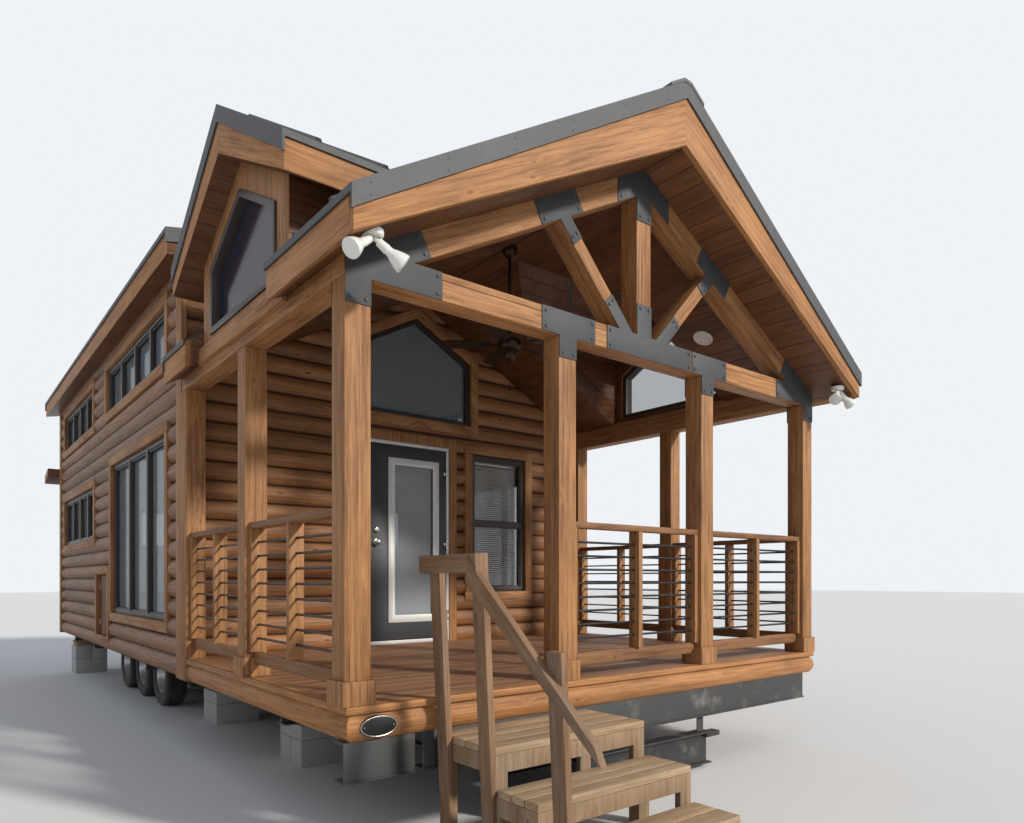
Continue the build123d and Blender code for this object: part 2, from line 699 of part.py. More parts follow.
def truss():
    """Tie beam, sloping chords, king post and two webs, all in the plane of the posts."""
    y0, y1 = POST_SETBACK, POST_SETBACK + POST
    tie_top = BEAM_UNDER + TIE_DEPTH
    ceiling = prism_y(under_slopes(soffit, 0, HALF_WIDTH, BEAM_UNDER), y0, y1)
    tie = block(-HALF_WIDTH, HALF_WIDTH, y0, y1, BEAM_UNDER, tie_top) & ceiling
    end_x = (SOFFIT_RIDGE - tie_top) / SOFFIT_SLOPE
    foot_x = end_x - CHORD_DEPTH / SOFFIT_SLOPE
    half = POST / 2
    chords, webs = [], []
    under = prism_y(under_slopes(chord_under, 0, foot_x, 0), y0, y1)
    clear = block(-HALF_WIDTH, HALF_WIDTH, y0, y1, tie_top, PORCH_RIDGE)
    clear -= block(-half, half, y0, y1, 0, PORCH_RIDGE)
    for side in (LEFT, RIGHT):
        outline = [(0, soffit(0)), (side * end_x, tie_top), (side * foot_x, tie_top), (0, chord_under(0))]
        chords.append(prism_y(outline, y0, y1))
        webs.append(prism_y(web_outline(side, 0, 1), y0, y1) & clear & under)
    king = block(-half, half, y0, y1, tie_top, PORCH_RIDGE) & under
    return tie, group(*chords), king, group(*webs)


def corner_plate(side):
    """Outline of the plate over a corner post, the end of the tie beam and the foot of a chord."""
    tie_top = BEAM_UNDER + TIE_DEPTH
    inner, low = HALF_WIDTH - POST, BEAM_UNDER - POST_PLATE_DROP
    beam_end, chord_end = HALF_WIDTH - 550.0, HALF_WIDTH - 484.0
    foot_x = (SOFFIT_RIDGE - CHORD_DEPTH - tie_top) / SOFFIT_SLOPE
    square = CHORD_DEPTH * SOFFIT_SLOPE / (1 + SOFFIT_SLOPE ** 2)
    points = [
        (HALF_WIDTH, low), (inner, low), (inner, BEAM_UNDER), (beam_end, BEAM_UNDER), (beam_end, tie_top),
        (foot_x, tie_top), (chord_end, chord_under(chord_end)),
        (chord_end + square, soffit(chord_end + square)), (HALF_WIDTH, soffit(HALF_WIDTH)),
    ]
    return [(side * x, z) for x, z in points]


def post_plate(side, inward, outward):
    """Outline of the T-shaped plate over a middle post and the tie beam."""
    tie_top, low = BEAM_UNDER + TIE_DEPTH, BEAM_UNDER - POST_PLATE_DROP
    a, b = MID_POST_X - inward, MID_POST_X + outward
    near, far = MID_POST_X - POST / 2, MID_POST_X + POST / 2
    points = [
        (near, low), (far, low), (far, BEAM_UNDER), (b, BEAM_UNDER),
        (b, tie_top), (a, tie_top), (a, BEAM_UNDER), (near, BEAM_UNDER),
    ]
    return [(side * x, z) for x, z in points]


def chord_plate(side, near, far):
    """Outline of the plate on a chord over the head of a web."""
    square = CHORD_DEPTH * SOFFIT_SLOPE / (1 + SOFFIT_SLOPE ** 2)
    points = [
        (near, chord_under(near)), (far, chord_under(far)),
        (far + square, soffit(far + square)), (near + square, soffit(near + square)),
    ]
    return [(side * x, z) for x, z in points]


def truss_plates():
    """Steel plates at the joints of the truss, on its front and its back."""
    tie_top, half = BEAM_UNDER + TIE_DEPTH, POST / 2
    plates = []
    front, back = POST_SETBACK, POST_SETBACK + POST
    for y0, y1 in ((front - PLATE, front), (back, back + PLATE)):
        under = prism_y(under_slopes(chord_under, 0, HALF_WIDTH, 0), y0, y1)
        fan = block(FAN_PLATE_LEFT, FAN_PLATE_RIGHT, y0, y1, BEAM_UNDER, tie_top)
        fan += block(-half, half, y0, y1, tie_top, tie_top + FAN_PLATE_RISE)
        peak = prism_y(roof_band(soffit, 0, PEAK_PLATE_REACH, CHORD_DEPTH), y0, y1)
        peak += block(-half, half, y0, y1, chord_under(0) - PEAK_PLATE_DROP, chord_under(0)) & under
        for side in (LEFT, RIGHT):
            arm = prism_y(web_outline(side, 0, WEB_FOOT_SHARE), y0, y1)
            fan += arm & block(-HALF_WIDTH, HALF_WIDTH, y0, y1, tie_top, PORCH_RIDGE)
            head = prism_y(chord_plate(side, *CHORD_PLATE), y0, y1)
            head += prism_y(web_outline(side, WEB_HEAD_SHARE, 1), y0, y1) & under
            plates.append(head)
            plates.append(prism_y(corner_plate(side), y0, y1))
            plates.append(prism_y(post_plate(side, *POST_PLATE[side]), y0, y1))
        plates += [fan, peak]
    outline = under_slopes(soffit, 0, HALF_WIDTH, 0)
    room = prism_y(outline, 0, POST_SETBACK + 2 * POST)
    beams = group(side_beam(LEFT), side_beam(RIGHT))
    return group(*[(plate & room) - beams for plate in plates])


def side_beam(side):
    """Beam over the side posts, cut to the slope of the ceiling, with the dormer's sill on it."""
    inner, outer = HALF_WIDTH - POST, HALF_WIDTH
    outline = [
        (side * inner, BEAM_UNDER), (side * outer, BEAM_UNDER),
        (side * outer, soffit(outer)), (side * inner, soffit(inner)),
    ]
    beam = prism_y(outline, POST_SETBACK + POST, PORCH_LENGTH)
    reach = DORMER_HALF_WALL - DORMER_WALL
    sill = [
        (side * inner, soffit(inner)), (side * outer, soffit(outer)),
        (side * outer, DORMER_SILL), (side * inner, DORMER_SILL),
    ]
    beam += prism_y(sill, DORMER_Y - reach, DORMER_Y + reach)
    y0, y1 = DORMER_Y - DORMER_HALF_WALL, DORMER_Y + DORMER_HALF_WALL
    low, high = soffit(outer) - BOARD, DORMER_SILL - METAL
    return beam + block(side * outer, side * (outer + BOARD), y0, y1, low, high)


def railing(along, start, end, fixed):
    """One railing panel between two posts, along X or Y, at a fixed place across it."""
    def part(a0, a1, wide, z0, z1):
        if along == "x":
            return block(a0, a1, fixed - wide / 2, fixed + wide / 2, z0, z1)
        return block(fixed - wide / 2, fixed + wide / 2, a0, a1, z0, z1)

    low_top, high = RAIL_BOTTOM + RAIL_BOTTOM_HEIGHT, RAIL_TOP - RAIL_THICK
    panel = part(start, end, RAIL_WIDTH, high, RAIL_TOP)
    panel += part(start, end, RAIL_THICK, RAIL_BOTTOM, low_top)
    half = RAIL_THICK / 2
    stiles = (start + half, (start + end) / 2, end - half)
    for place in stiles:
        panel += part(place - half, place + half, RAIL_WIDTH, low_top, high)
    pitch = (high - low_top) / (BAR_COUNT + 1)
    for bar in range(BAR_COUNT):
        z = low_top + pitch * (bar + 1)
        a, b = stiles[0], stiles[-1]
        ends = ((a, fixed, z), (b, fixed, z)) if along == "x" else ((fixed, a, z), (fixed, b, z))
        panel += rod(*ends, BAR_RADIUS, BAR_SIDES)
    return panel


def railings():
    """Front and side railings, let into the collars of the posts."""
    _, collars = posts()
    half = POST / 2
    corner = HALF_WIDTH - half
    front_y = POST_SETBACK + half
    front = [
        railing("x", -MID_POST_X + half, MID_POST_X - half, front_y) - collars,
        railing("x", MID_POST_X + half, corner - half, front_y) - collars,
    ]
    stretches = (
        (POST_SETBACK + POST, SIDE_POST_Y - half),
        (SIDE_POST_Y + half, PORCH_LENGTH - POST),
    )
    sides = [
        railing("y", start, end, side * corner) - collars
        for side in (LEFT, RIGHT) for start, end in stretches
    ]
    return group(*front), group(*sides)


def rim_edge():
    """Outline across the rim: a flat nosing board on a half log, out from its back and height."""
    points = [(0, 0), (RIM_BACK, 0), (RIM_BACK, -DECK_BOARD)]
    height = FLOOR_DEPTH - DECK_BOARD
    radius = ((height / 2) ** 2 + RIM_BULGE ** 2) / (2 * RIM_BULGE)
    sweep_half = math.asin(height / 2 / radius)
    for i in range(RIM_FACETS + 1):
        turn = sweep_half * (1 - 2 * i / RIM_FACETS)
        out = RIM_BACK - radius + radius * math.cos(turn)
        points.append((out, -DECK_BOARD - height / 2 + radius * math.sin(turn)))
    return points + [(0, -FLOOR_DEPTH)]


def porch_floor():
    """Deck boards on joists, with the log-shaped rim mitred round three sides."""
    edge, back = HALF_WIDTH, HALF_WIDTH - RIM_BACK
    deck = block(-back, back, RIM_BACK, PORCH_LENGTH, -DECK_BOARD, 0)
    deck += block(-SHEATH_X, SHEATH_X, PORCH_LENGTH, SHEATH_FRONT, -DECK_BOARD, 0)
    joists = []
    half = JOIST / 2
    for i in range(JOIST_COUNT):
        x = (back - half) * (2 * i / (JOIST_COUNT - 1) - 1)
        joists.append(block(x - half, x + half, RIM_BACK, SHEATH_FRONT, -FLOOR_DEPTH, -DECK_BOARD))
    end = PORCH_LENGTH - POST
    front = prism_x([(RIM_BACK - out, z) for out, z in rim_edge()], -edge, edge)
    rim = front & prism_z([(-edge, 0), (edge, 0), (back, RIM_BACK), (-back, RIM_BACK)], -FLOOR_DEPTH, 0)
    for side in (LEFT, RIGHT):
        piece = prism_y([(side * (back + out), z) for out, z in rim_edge()], 0, end)
        plan = [(side * edge, 0), (side * edge, end), (side * back, end), (side * back, RIM_BACK)]
        rim += piece & prism_z(plan, -FLOOR_DEPTH, 0)
    return deck, group(*joists), rim


def badge(rim):
    """Bare oval plate on the left of the front rim, seated on its rounded face."""
    height = -DECK_BOARD - (FLOOR_DEPTH - DECK_BOARD) / 2
    outline = []
    for i in range(BADGE_SIDES):
        turn = 2 * math.pi * i / BADGE_SIDES
        across, up = BADGE_HALF_WIDTH * math.cos(turn), BADGE_HALF_HEIGHT * math.sin(turn)
        outline.append((BADGE_X + across, height + up))
    return prism_y(outline, -BADGE_THICK, RIM_BULGE) - rim


# Roofs

def porch_roof():
    """Boarded core of the porch roof, opened into the two dormers."""
    reach = PORCH_EAVE_X - BOARD
    outline = [
        (-reach, soffit(reach)), (-reach, porch_top(reach)), (0, porch_top(0)),
        (reach, porch_top(reach)), (reach, soffit(reach)), (0, soffit(0)),
    ]
    core = prism_y(outline, RAKE_Y + BOARD, PORCH_LENGTH)
    wall_in = HALF_WIDTH - DORMER_WALL
    for side in (LEFT, RIGHT):
        throat = under_slopes(dormer_soffit, DORMER_Y, DORMER_HALF_WALL - DORMER_WALL, 0)
        core -= prism_x(throat, 0, side * wall_in)
        notch = under_slopes(dormer_soffit, DORMER_Y, DORMER_HALF_WALL, 0)
        core -= prism_x(notch, side * wall_in, side * (PORCH_EAVE_X + BOARD))
    return core


def porch_fascia():
    """Rake boards on the front of the porch roof, and the short eave boards."""
    pieces = []
    outer, inner = PORCH_EAVE_X, PORCH_EAVE_X - BOARD
    for side in (LEFT, RIGHT):
        rake = [
            (0, soffit(0)), (0, porch_top(0)),
            (side * outer, porch_top(outer)), (side * outer, soffit(outer)),
        ]
        eave = [
            (side * inner, soffit(inner)), (side * inner, porch_top(inner)),
            (side * outer, porch_top(outer)), (side * outer, soffit(outer)),
        ]
        pieces.append(prism_y(rake, RAKE_Y, RAKE_Y + BOARD))
        pieces.append(prism_y(eave, RAKE_Y + BOARD, DORMER_Y - DORMER_HALF_WALL))
        pieces.append(prism_y(eave, DORMER_Y + DORMER_HALF_WALL, PORCH_LENGTH))
    return group(*pieces)


def rib(start, end):
    """Raised rib of a sheet, from a point near its ridge down to one near its edge."""
    run = Vector(*end) - Vector(*start)
    section = [
        (-RIB_BASE / 2, 0), (-RIB_TOP / 2, RIB_HEIGHT), (RIB_TOP / 2, RIB_HEIGHT), (RIB_BASE / 2, 0),
        (RIB_BASE / 2, -METAL / 2), (-RIB_BASE / 2, -METAL / 2),
    ]
    across = Plane(origin=start, x_dir=Vector(0, 0, 1).cross(run), z_dir=run)
    return extrude(across * make_face(Polyline(*section, close=True)), amount=run.length)


def spread(start, end):
    """Middles of the ribs between two edges, at an even pitch close to the usual one."""
    count = round((end - start) / RIB_PITCH)
    return [start + (end - start) * (i + 0.5) / count for i in range(count)]


def porch_metal():
    """Ribbed sheet over the porch roof, with its edge trims turned down."""
    reach = PORCH_EAVE_X + METAL_EDGE

    def top(x):
        return porch_top(x, METAL)

    front = RAKE_Y - METAL_EDGE
    sheet = prism_y(roof_band(top, 0, reach, METAL), front, PORCH_LENGTH)
    sheet += prism_y(roof_band(top, 0, reach, METAL_DROP), front, RAKE_Y)
    for side in (LEFT, RIGHT):
        low, high = top(reach) - METAL_DROP, top(reach) - METAL / 2
        sheet += block(side * PORCH_EAVE_X, side * reach, front, PORCH_LENGTH, low, high)
        notch = under_slopes(dormer_soffit, DORMER_Y, DORMER_HALF_WALL, 0)
        sheet -= prism_x(notch, 0, side * (reach + BOARD))
        for y in spread(RAKE_Y, PORCH_LENGTH - MAIN_FRONT_OVERHANG):
            away, far = abs(y - DORMER_Y), PORCH_EAVE_X
            if away < DORMER_HALF_ROOF + METAL_EDGE:
                far = (PORCH_RIDGE - DORMER_RIDGE) / PORCH_SLOPE + away - RIB_FROM_RIDGE
            points = [(side * x, y, top(x)) for x in (RIB_FROM_RIDGE, far)]
            sheet += rib(*points)
    return sheet


def dormer_roof(side):
    """Boarded slopes of a dormer's roof, seated on the porch roof."""
    a, b = DORMER_Y - DORMER_HALF_ROOF, DORMER_Y + DORMER_HALF_ROOF
    outline = [
        (a, dormer_soffit(a)), (a, dormer_top(a)), (DORMER_Y, dormer_top(DORMER_Y)),
        (b, dormer_top(b)), (b, dormer_soffit(b)), (DORMER_Y, dormer_soffit(DORMER_Y)),
    ]
    roof = prism_x(outline, 0, side * DORMER_RAKE_X)
    return roof & above_porch(side, DORMER_RAKE_X + BOARD, METAL)


def dormer_metal(side):
    """Sheet over a dormer, with its edge trims turned down."""
    reach = DORMER_HALF_ROOF + METAL_EDGE

    def top(y):
        return dormer_top(y, METAL)

    rake = side * DORMER_RAKE_X
    outer = rake + side * METAL_EDGE
    sheet = prism_x(roof_band(top, DORMER_Y, reach, METAL), 0, outer)
    sheet += prism_x(roof_band(top, DORMER_Y, reach, METAL_DROP), rake, outer)
    for end in (LEFT, RIGHT):
        edge = DORMER_Y + end * reach
        low, high = top(edge) - METAL_DROP, top(edge) - METAL / 2
        sheet += block(0, outer, DORMER_Y + end * DORMER_HALF_ROOF, edge, low, high)
    return sheet & above_porch(side, DORMER_RAKE_X + BOARD, METAL)


def dormer_walls(side):
    """Gable wall of a dormer with its window opening, and its two cheeks."""
    inner, outer = side * (HALF_WIDTH - DORMER_WALL), side * HALF_WIDTH
    reach = DORMER_HALF_WALL - DORMER_WALL
    gable = prism_x(under_slopes(dormer_soffit, DORMER_Y, DORMER_HALF_WALL, BEAM_UNDER), inner, outer)
    gable -= prism_y(under_slopes(soffit, 0, HALF_WIDTH, 0), 0, PORCH_LENGTH)
    gable -= block(inner, outer, DORMER_Y - reach, DORMER_Y + reach, 0, DORMER_SILL)
    gable -= prism_x(dormer_outline(), inner, outer)
    under = prism_x(under_slopes(dormer_soffit, DORMER_Y, DORMER_HALF_WALL, 0), 0, inner)
    cheeks = under - block(0, inner, DORMER_Y - reach, DORMER_Y + reach, 0, PORCH_RIDGE)
    return gable + (cheeks & above_porch(side, HALF_WIDTH, 0))


def main_roof():
    """Low main roof with its ribbed metal, cut round the porch roof at its front."""
    reach = HALF_WIDTH + MAIN_OVERHANG
    front, rear = PORCH_LENGTH - MAIN_FRONT_OVERHANG, REAR_FACE + MAIN_REAR_OVERHANG

    def boards_top(x):
        return main_under(x) + MAIN_DEPTH

    def top(x):
        return boards_top(x) + METAL

    porch = below_porch(front - METAL_EDGE, PORCH_LENGTH, METAL)
    core = prism_y(roof_band(boards_top, 0, reach, MAIN_DEPTH), front, rear) - porch
    wide = reach + METAL_EDGE
    metal = prism_y(roof_band(top, 0, wide, METAL), front - METAL_EDGE, rear + METAL_EDGE)
    metal += prism_y(roof_band(top, 0, wide, METAL_DROP), front - METAL_EDGE, front)
    metal += prism_y(roof_band(top, 0, wide, METAL_DROP), rear, rear + METAL_EDGE)
    low, high = top(wide) - METAL_DROP, top(wide) - METAL / 2
    for side in (LEFT, RIGHT):
        metal += block(side * reach, side * wide, front - METAL_EDGE, rear + METAL_EDGE, low, high)
        for y in spread(front, rear):
            points = [(side * x, y, top(x)) for x in (RIB_FROM_RIDGE, reach)]
            metal += rib(*points)
    return core, metal - porch


def pent_band(y0, y1, high, low):
    """Outline of a layer of the rear roof strip, between two drops below its top."""
    fall = PENT_FALL / (LOG_BULGE + PENT_REACH)

    def top(y):
        return PENT_TOP - fall * (y - SHEATH_REAR)

    return [(y0, top(y0) - low), (y1, top(y1) - low), (y1, top(y1) - high), (y0, top(y0) - high)]


def rear_pent():
    """Narrow roof strip across the rear wall, and its sheet."""
    reach = HALF_WIDTH + MAIN_OVERHANG
    end = REAR_FACE + PENT_REACH
    layers = []
    for high, low in ((METAL, METAL + PENT_THICK), (0, METAL)):
        layer = prism_x(pent_band(SHEATH_REAR, end, high, low), -SHEATH_X, SHEATH_X)
        layers.append(layer + prism_x(pent_band(REAR_FACE, end, high, low), -reach, reach))
    return layers


# Floors and chassis

def house_floor():
    """Floor of the house with a well over each row of wheels, and the sill under the doorway."""
    floor = block(-INNER_X, INNER_X, INNER_FRONT, INNER_REAR, -FLOOR_DEPTH, 0)
    x0, x1, _ = doorway()
    floor += block(x0, x1, SHEATH_FRONT, INNER_FRONT, -FLOOR_DEPTH, 0)
    reach = AXLE_SPACING * (AXLE_COUNT - 1) / 2 + TYRE_RADIUS + BOARD
    wide = TYRE_WIDTH / 2 + BOARD
    y0, y1 = AXLE_MIDDLE_Y - reach, AXLE_MIDDLE_Y + reach
    for side in (LEFT, RIGHT):
        a, b = side * (TYRE_X - wide), side * (TYRE_X + wide)
        floor -= block(a, b, y0, y1, -FLOOR_DEPTH, WELL_DEPTH - FLOOR_DEPTH)
    return floor


def i_section(centre, top, depth):
    """Outline of an I-beam: offset across it, and height."""
    half, web, flange = BEAM_FLANGE / 2, BEAM_WEB / 2, BEAM_FLANGE_THICK
    right = [
        (half, top), (half, top - flange), (web, top - flange),
        (web, top - depth + flange), (half, top - depth + flange), (half, top - depth),
    ]
    return [(centre + x, z) for x, z in right] + [(centre - x, z) for x, z in reversed(right)]


def chassis():
    """Main rails, cross members with outriggers, front channel, hitch bar and piers."""
    web, flange = BEAM_WEB / 2, BEAM_FLANGE_THICK
    face, web_back, back = CHANNEL_Y, CHANNEL_Y + BEAM_WEB, CHANNEL_Y + BEAM_FLANGE
    rails, cross = [], []
    for side in (LEFT, RIGHT):
        rails.append(prism_y(i_section(side * RAIL_X, CHASSIS_TOP, BEAM_DEPTH), back, INNER_REAR))
    for y in CROSS_ROWS:
        section = i_section(y, CHASSIS_TOP - flange, CROSS_DEPTH)
        whole = prism_x(section, -INNER_X, INNER_X)
        cross.append(whole - rails)
    hitch_y = face + BEAM_FLANGE / 2
    high, low = CHASSIS_TOP - flange, CHASSIS_LOW + flange
    section = [
        (face, CHASSIS_TOP), (back, CHASSIS_TOP), (back, high), (web_back, high), (web_back, low),
        (back, low), (back, CHASSIS_LOW), (face - flange, CHASSIS_LOW), (face - flange, low), (face, low),
    ]
    channel = [
        prism_x(section, -HALF_WIDTH, CHANNEL_SPLICE),
        prism_x(section, CHANNEL_SPLICE + CHANNEL_SPLICE_GAP, CHANNEL_RIGHT),
    ]
    top = CHASSIS_LOW - HITCH_DROP
    hitch = prism_x(i_section(hitch_y, top, HITCH_DEPTH), HITCH_LEFT, HITCH_RIGHT)
    half = HITCH_HANGER / 2
    for x in (HITCH_LEFT + HITCH_HANGER, HITCH_RIGHT - HITCH_HANGER):
        hitch += block(x - half, x + half, hitch_y - web, hitch_y + web, top, CHASSIS_LOW)
    tab_start, tab_end, tab_top = HITCH_RIGHT - half, HITCH_RIGHT + HITCH_TAB, top - flange
    hitch += block(tab_start, tab_end, hitch_y - half, hitch_y + half, tab_top - half, tab_top)
    return group(*rails), group(*cross), group(*channel), hitch


def piers():
    """Concrete blocks under the main rails, and under the outriggers at the rear corners."""
    blocks = []
    half = PIER_WIDTH / 2
    corner_top = CHASSIS_TOP - BEAM_FLANGE_THICK - CROSS_DEPTH
    for side in (LEFT, RIGHT):
        places = [(side * RAIL_X, y, CHASSIS_LOW) for y in PIER_ROWS]
        places.append((side * CORNER_PIER_X, CROSS_ROWS[-1], corner_top))
        for x, y, top in places:
            blocks.append(block(x - half, x + half, y - half, y + half, -DECK_HEIGHT, top))
    return group(*blocks)


def wheels():
    """Rims and tyres."""
    half, shoulder, tread = TYRE_WIDTH / 2, TYRE_RADIUS - 40, TYRE_WIDTH / 2 - 35
    seat, dish = half - 15, RIM_RADIUS - RIM_WALL
    carcass = [(-half, shoulder), (-tread, TYRE_RADIUS), (tread, TYRE_RADIUS), (half, shoulder)]
    rims, tyres = [], []
    for side in (LEFT, RIGHT):
        for y in axle_rows():
            place = ((side * TYRE_X, y, TYRE_RADIUS - DECK_HEIGHT), (side, 0, 0))
            hole = turned([(-half, RIM_RADIUS), (half, RIM_RADIUS)], *place, WHEEL_SIDES)
            tyres.append(turned(carcass, *place, WHEEL_SIDES) - hole)
            rim = turned([(-seat, RIM_RADIUS), (seat, RIM_RADIUS)], *place, WHEEL_SIDES)
            rim -= turned([(-seat, dish), (-RIM_WALL, dish)], *place, WHEEL_SIDES)
            rim -= turned([(0, dish - RIM_WALL), (seat, dish)], *place, WHEEL_SIDES)
            rims.append(rim + turned([(0, HUB_RADIUS), (45, HUB_RADIUS - 15)], *place, TURNING_SIDES))
    return group(*rims), group(*tyres)


def axle_rows():
    """Places of the axles along the house."""
    return [AXLE_MIDDLE_Y + (i - (AXLE_COUNT - 1) / 2) * AXLE_SPACING for i in range(AXLE_COUNT)]


def axles():
    """Drop axles that the wheels turn on."""
    radius = TUBE_RADIUS
    wheel_z = TYRE_RADIUS - DECK_HEIGHT
    tube_z = wheel_z - AXLE_DROP
    arm_x = TYRE_X - TYRE_WIDTH / 2 - 45
    pieces = []
    for y in axle_rows():
        axle = rod((-arm_x, y, tube_z), (arm_x, y, tube_z), radius)
        for side in (LEFT, RIGHT):
            a, b = side * (arm_x - 25), side * (arm_x + 25)
            axle += block(a, b, y - radius, y + radius, tube_z - radius, wheel_z + radius)
            axle += rod((side * arm_x, y, wheel_z), (side * (TYRE_X - RIM_WALL), y, wheel_z), radius)
        pieces.append(axle)
    return group(*pieces)


def leaf_springs():
    """Row of bowed leaf springs on each side, with the hangers between them."""
    seat = TYRE_RADIUS - DECK_HEIGHT - AXLE_DROP + TUBE_RADIUS
    rise = CHASSIS_LOW - HITCH_HANGER / 2 - seat - SPRING_THICK
    reach = AXLE_SPACING / 2 - HITCH_HANGER / 2
    steps = 4
    rows = axle_rows()
    springs = []
    for side in (LEFT, RIGHT):
        x0, x1 = side * (RAIL_X - SPRING_WIDE / 2), side * (RAIL_X + SPRING_WIDE / 2)
        spring = None
        for y in rows:
            shares = [2 * i / steps - 1 for i in range(steps + 1)]
            lower = [(y + reach * share, seat + rise * share * share) for share in shares]
            upper = [(a, z + SPRING_THICK) for a, z in reversed(lower)]
            leaf = prism_x(lower + upper, x0, x1)
            spring = leaf if spring is None else spring + leaf
        for i in range(AXLE_COUNT + 1):
            y = rows[0] + (i - 0.5) * AXLE_SPACING
            spring += block(x0, x1, y - BEAM_FLANGE / 2, y + BEAM_FLANGE / 2, seat + rise, CHASSIS_LOW)
        springs.append(spring)
    return group(*springs)


# Fittings

def porch_fan():
    """Ceiling fan: rod and housings that stay, and the rotor with its blades."""
    ridge, low, high = soffit(0), FAN_BLADE_Z - 45, FAN_BLADE_Z + 60
    origin = (0, FAN_Y, 0)
    fixed = rod((0, FAN_Y, low - 25), (0, FAN_Y, ridge), ROD_RADIUS)
    fixed += turned([(ridge - 85, 30), (ridge - 35, 62), (ridge, 62)], origin, (0, 0, 1), HOUSING_SIDES)
    fixed += turned([(low - 80, 25), (low - 60, 50), (low - 20, 55)], origin, (0, 0, 1), HOUSING_SIDES)
    fixed += rod((0, FAN_Y, FAN_BLADE_Z - 340), (0, FAN_Y, low - 70), 3, BAR_SIDES)
    ceiling = prism_y(under_slopes(soffit, 0, HALF_WIDTH, 0), FAN_Y - POST, FAN_Y + POST)
    housing = [(low, 75), (low + 25, 95), (high - 25, 95), (high, 60)]
    rotor = turned(housing, origin, (0, 0, 1), HOUSING_SIDES)
    span = FAN_RADIUS - 90
    for i in range(FAN_BLADES):
        turn = Pos(0, FAN_Y, FAN_BLADE_Z) * Rot(0, 0, i * 360 / FAN_BLADES)
        rotor += turn * Pos(90 + span / 2, 0, 0) * Rot(12, 0, 0) * Box(span, 120, 8)
    bore_radius = (ROD_RADIUS + FAN_CLEARANCE) / math.cos(math.pi / HOUSING_SIDES)
    bore = rod((0, FAN_Y, low - POST), (0, FAN_Y, high + POST), bore_radius, HOUSING_SIDES)
    return fixed & ceiling, rotor - bore


def flood_lights():
    """Pair of reflector lamps under each front corner of the porch roof."""
    end = LAMP_REACH + LAMP_LENGTH
    flare = [(LAMP_REACH, 2 * LAMP_NECK), (LAMP_REACH + 40, 24), (end, LAMP_RADIUS)]
    ceiling = prism_y(under_slopes(soffit, 0, HALF_WIDTH + POST, 0), LAMP_Y - POST, LAMP_Y + POST)
    pieces = []
    for side in (LEFT, RIGHT):
        x, z = side * LAMP_X, soffit(LAMP_X)
        lamp = rod((x, LAMP_Y, z - 30), (x, LAMP_Y, z + 30), 50, HOUSING_SIDES) & ceiling
        start = Vector(x, LAMP_Y, z - 25)
        for hand in (LEFT, RIGHT):
            run = Vector(hand, -0.35, -0.8).normalized()
            lamp += rod(tuple(start), tuple(start + run * (LAMP_REACH + 1)), LAMP_NECK, BAR_SIDES)
            lamp += turned(flare, tuple(start), tuple(run), HOUSING_SIDES)
        pieces.append(lamp)
    return group(*pieces)


# Stair

def stair_treads():
    """Tread boards of the three steps."""
    boards = []
    for step in range(STEP_COUNT):
        top = -STAIR_RISE * (step + 1)
        front, count = STEP_FRONTS[step], STEP_BOARDS[step]
        pitch = (STEP_BACKS[step] - front + TREAD_GAP) / count
        for i in range(count):
            y0 = front + i * pitch
            boards.append(block(STAIR_X0, STAIR_X1, y0, y0 + pitch - TREAD_GAP, top - TREAD, top))
    return group(*boards)


def stair_frame():
    """Aprons and legs that carry the treads, nailed to one another."""
    frame = None
    for step in range(STEP_COUNT):
        low = -STAIR_RISE * (step + 1) - TREAD
        front = STEP_FRONTS[step]
        back = STEP_FRONTS[step - 1] if step else CHANNEL_Y - BEAM_FLANGE_THICK
        apron = block(STAIR_X0, STAIR_X1, front, back, low - STUD_WIDE, low)
        apron -= block(STAIR_X0 + STUD, STAIR_X1 - STUD, front + STUD, back - STUD, low - STUD_WIDE, low)
        for x0 in (STAIR_X0, STAIR_X1 - STUD_WIDE):
            for y0 in (front, back - STUD):
                apron += block(x0, x0 + STUD_WIDE, y0, y0 + STUD, -DECK_HEIGHT, low)
        frame = apron if frame is None else frame + apron
    return frame


def stair_handrail():
    """Three leaning posts beside the stair, a short level rail and a sloping one."""
    x0, x1 = STAIR_X0 - STUD, STAIR_X0
    half = STUD_WIDE / 2
    rail = None
    for y, top in HANDRAIL_POSTS:
        post = block(x0, x1, y - half, y + half, -DECK_HEIGHT - STUD, top)
        rail = post if rail is None else rail + post
    first, second = HANDRAIL_POSTS[0][0], HANDRAIL_POSTS[1][0]
    low = HANDRAIL_TOP - STUD_WIDE
    rail += block(x0 - STUD, x0, second - half, first + half + BOARD, low, HANDRAIL_TOP)
    end_y, end_z = HANDRAIL_END
    start_y = second + half
    slope = [(start_y, HANDRAIL_TOP), (end_y, end_z), (end_y - BOARD, end_z - STUD_WIDE)]
    slope.append((start_y, low - BOARD))
    rail += prism_x(slope, x0 - STUD, x0)
    pivot = -STAIR_RISE - TREAD
    lean = Pos(STAIR_X0, 0, pivot) * Rot(0, -HANDRAIL_LEAN, 0) * Pos(-STAIR_X0, 0, -pivot)
    room = block(-2 * HALF_WIDTH, STAIR_X0, -PORCH_LENGTH, PORCH_LENGTH, -DECK_HEIGHT, HALF_WIDTH)
    return (lean * rail) & room


